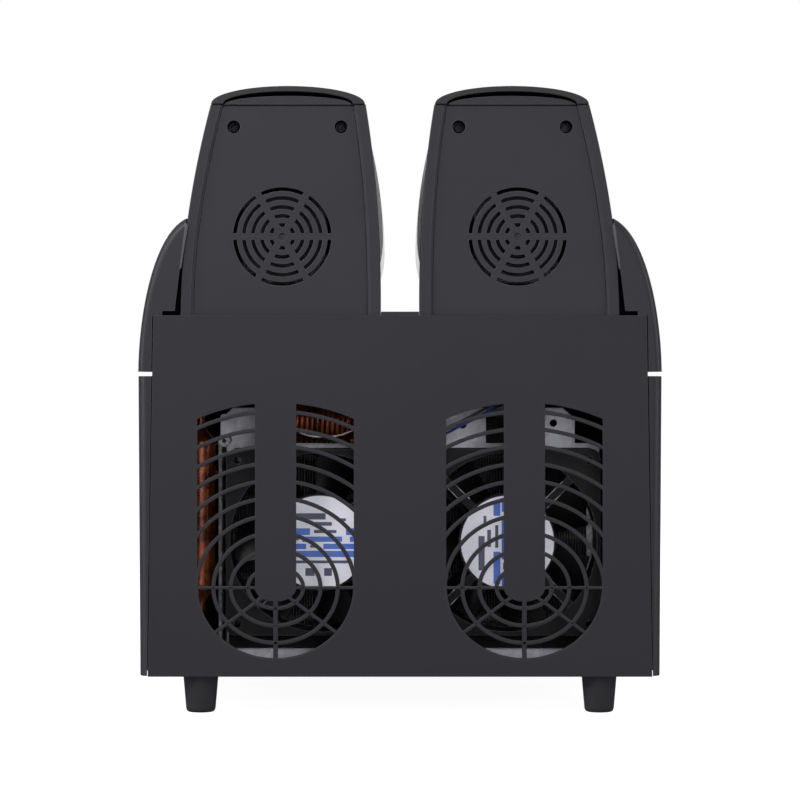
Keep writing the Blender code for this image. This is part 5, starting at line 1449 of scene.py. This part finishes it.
def makeWires():
    route = [(-0.018, 0.165, 0.1685), (-0.03, 0.172, 0.176), (-0.045, 0.176, 0.184), (-0.06, 0.172, 0.192),
             (-0.078, 0.15, 0.202), (-0.1, 0.11, 0.212), (-0.105, 0.04, 0.214), (-0.08, -0.045, 0.212),
             (-0.056, -0.072, 0.209), (-0.055, -0.0777, 0.209)]
    addPiece("fanWireBlue", tube(smoothPath(route, 10), 0.0009), "wire_blue", replaced=["fan_wires"], smooth=60)
    beside = [(x + 0.001, y - 0.0015, z + 0.0022) for x, y, z in route[:-2]] + [(-0.057, -0.07, 0.2105),
                                                                                (-0.0575, -0.0777, 0.2095)]
    addPiece("fanWireBlack", tube(smoothPath(beside, 10), 0.0009), "wire_blue", finish="wireBlack",
             smooth=60)
    thin = [[(0.0685, 0.174, 0.179), (0.06, 0.176, 0.175), (0.05, 0.1765, 0.1738), (0.038, 0.176, 0.175),
             (0.026, 0.174, 0.18)],
            [(0.029, 0.177, 0.1735), (0.024, 0.1775, 0.1765), (0.017, 0.176, 0.183)]]
    addPiece("sensorWires", gathered(*[tube(smoothPath(line, 8), 0.0005, 2) for line in thin]), "wire_blue",
             finish="wireWhite", smooth=60)


print("making the casing")
makeBase()
makeRearPanel()
makeDeck()
makeFrontPanel()
for side, sign in sides:
    makeSidePanel(side, sign)
    makeShoulder(side, sign)
    makeTower(side, sign)
print("making the bowls, drives and taps")
for side, sign in sides:
    makeDrive(side, sign)
    makeBowl(side, sign)
    makeTap(side, sign)
print("making the controls and the tray")
makeControls()
makeTray()
print("making the cooling parts")
for (side, _), fanX in zip(sides, fan["places"]):
    makeFan(side, fanX)
makeShroud()
makeCondenser()
makeCompressor()
makePipes()
makeWires()


# Stage

stage = {"cameraY": 2.21, "cameraZ": 0.213, "lens": 142.86, "shiftY": -0.0305, "skyLow": 0.18, "skyHigh": 0.55,
         "floorSeen": 0.9, "floorGlow": 0.2, "floorHalf": 12, "floorZ": -0.0002}


def makeWorld():
    world = bpy.data.worlds.new("studio")
    scene.world = world
    world.use_nodes = True
    tree = world.node_tree
    tree.nodes.clear()
    direction = put(tree, "ShaderNodeTexCoord").outputs["Generated"]
    up = put(tree, "ShaderNodeSeparateXYZ", {0: direction}).outputs["Z"]
    sky = ranged(tree, up, -0.25, 0.6, stage["skyLow"], stage["skyHigh"])
    path = put(tree, "ShaderNodeLightPath")
    seen = maths(tree, "MAXIMUM", path.outputs["Is Camera Ray"], path.outputs["Is Transmission Ray"])
    grey = put(tree, "ShaderNodeBackground", {"Color": (0.97, 0.96, 1.0, 1.0), "Strength": sky})
    white = put(tree, "ShaderNodeBackground", {"Color": (1.0, 1.0, 1.0, 1.0), "Strength": 1.0})
    mix = put(tree, "ShaderNodeMixShader", {0: seen, 1: grey, 2: white})
    put(tree, "ShaderNodeOutputWorld", {"Surface": mix})


def makeFloor():
    work = bmesh.new()
    bmesh.ops.create_grid(work, x_segments=1, y_segments=1, size=stage["floorHalf"])
    floor = bpy.data.objects.new("floor", finished(work))
    floor.location.z = stage["floorZ"]
    scene.collection.objects.link(floor)
    material = bpy.data.materials.new("paleFloor")
    material.use_nodes = True
    tree = material.node_tree
    tree.nodes.clear()
    path = put(tree, "ShaderNodeLightPath")
    strength = ranged(tree, path.outputs["Is Camera Ray"], 0.0, 1.0, stage["floorGlow"], stage["floorSeen"])
    glow = put(tree, "ShaderNodeEmission", {"Color": (1.0, 1.0, 1.0, 1.0), "Strength": strength})
    matt = put(tree, "ShaderNodeBsdfDiffuse", {"Color": (0.3, 0.3, 0.3, 1.0)})
    both = put(tree, "ShaderNodeAddShader", {0: glow, 1: matt})
    put(tree, "ShaderNodeOutputMaterial", {"Surface": both})
    floor.data.materials.append(material)


# name: place, target, size, power and tint
lights = {
    "keyLight": ((0.55, 0.85, 0.8), (0.03, 0.2, 0.25), (0.4, 0.3), 11.0, (1.0, 0.97, 1.0)),
    "lowLight": ((-0.3, 2.3, 0.4), (0, 0, 0.15), (1.0, 0.6), 15.0, (0.95, 0.95, 1.0)),
    "frontLight": ((-0.6, -1.8, 1.3), (0, 0, 0.2), (1.6, 1.2), 22.0, (1.0, 1.0, 1.0)),
    "rimLeft": ((1.7, 0.75, 0.55), (0.1, 0.1, 0.2), (0.5, 1.4), 26.0, (1.0, 1.0, 1.0)),
    "rimRight": ((-1.7, 0.75, 0.55), (-0.1, 0.1, 0.2), (0.5, 1.4), 24.0, (1.0, 1.0, 1.0)),
}


def addLight(name, place, target, size, power, tint):
    light = bpy.data.lights.new(name, "AREA")
    light.shape = "RECTANGLE"
    light.size, light.size_y = size
    light.energy = power
    light.color = tint
    lamp = bpy.data.objects.new(name, light)
    lamp.location = place
    lamp.rotation_euler = (Vector(target) - Vector(place)).to_track_quat("-Z", "Y").to_euler()
    lamp.visible_camera = False
    scene.collection.objects.link(lamp)


def makeCamera():
    data = bpy.data.cameras.new("camera")
    data.lens = stage["lens"]
    data.sensor_width = 36.0
    data.shift_y = stage["shiftY"]
    camera = bpy.data.objects.new("camera", data)
    camera.location = (0.0, stage["cameraY"], stage["cameraZ"])
    camera.rotation_euler = (math.pi / 2, 0.0, math.pi)
    scene.collection.objects.link(camera)
    scene.camera = camera


makeWorld()
makeFloor()
for name, values in lights.items():
    addLight(name, *values)
makeCamera()
scene.view_settings.view_transform = "Standard"
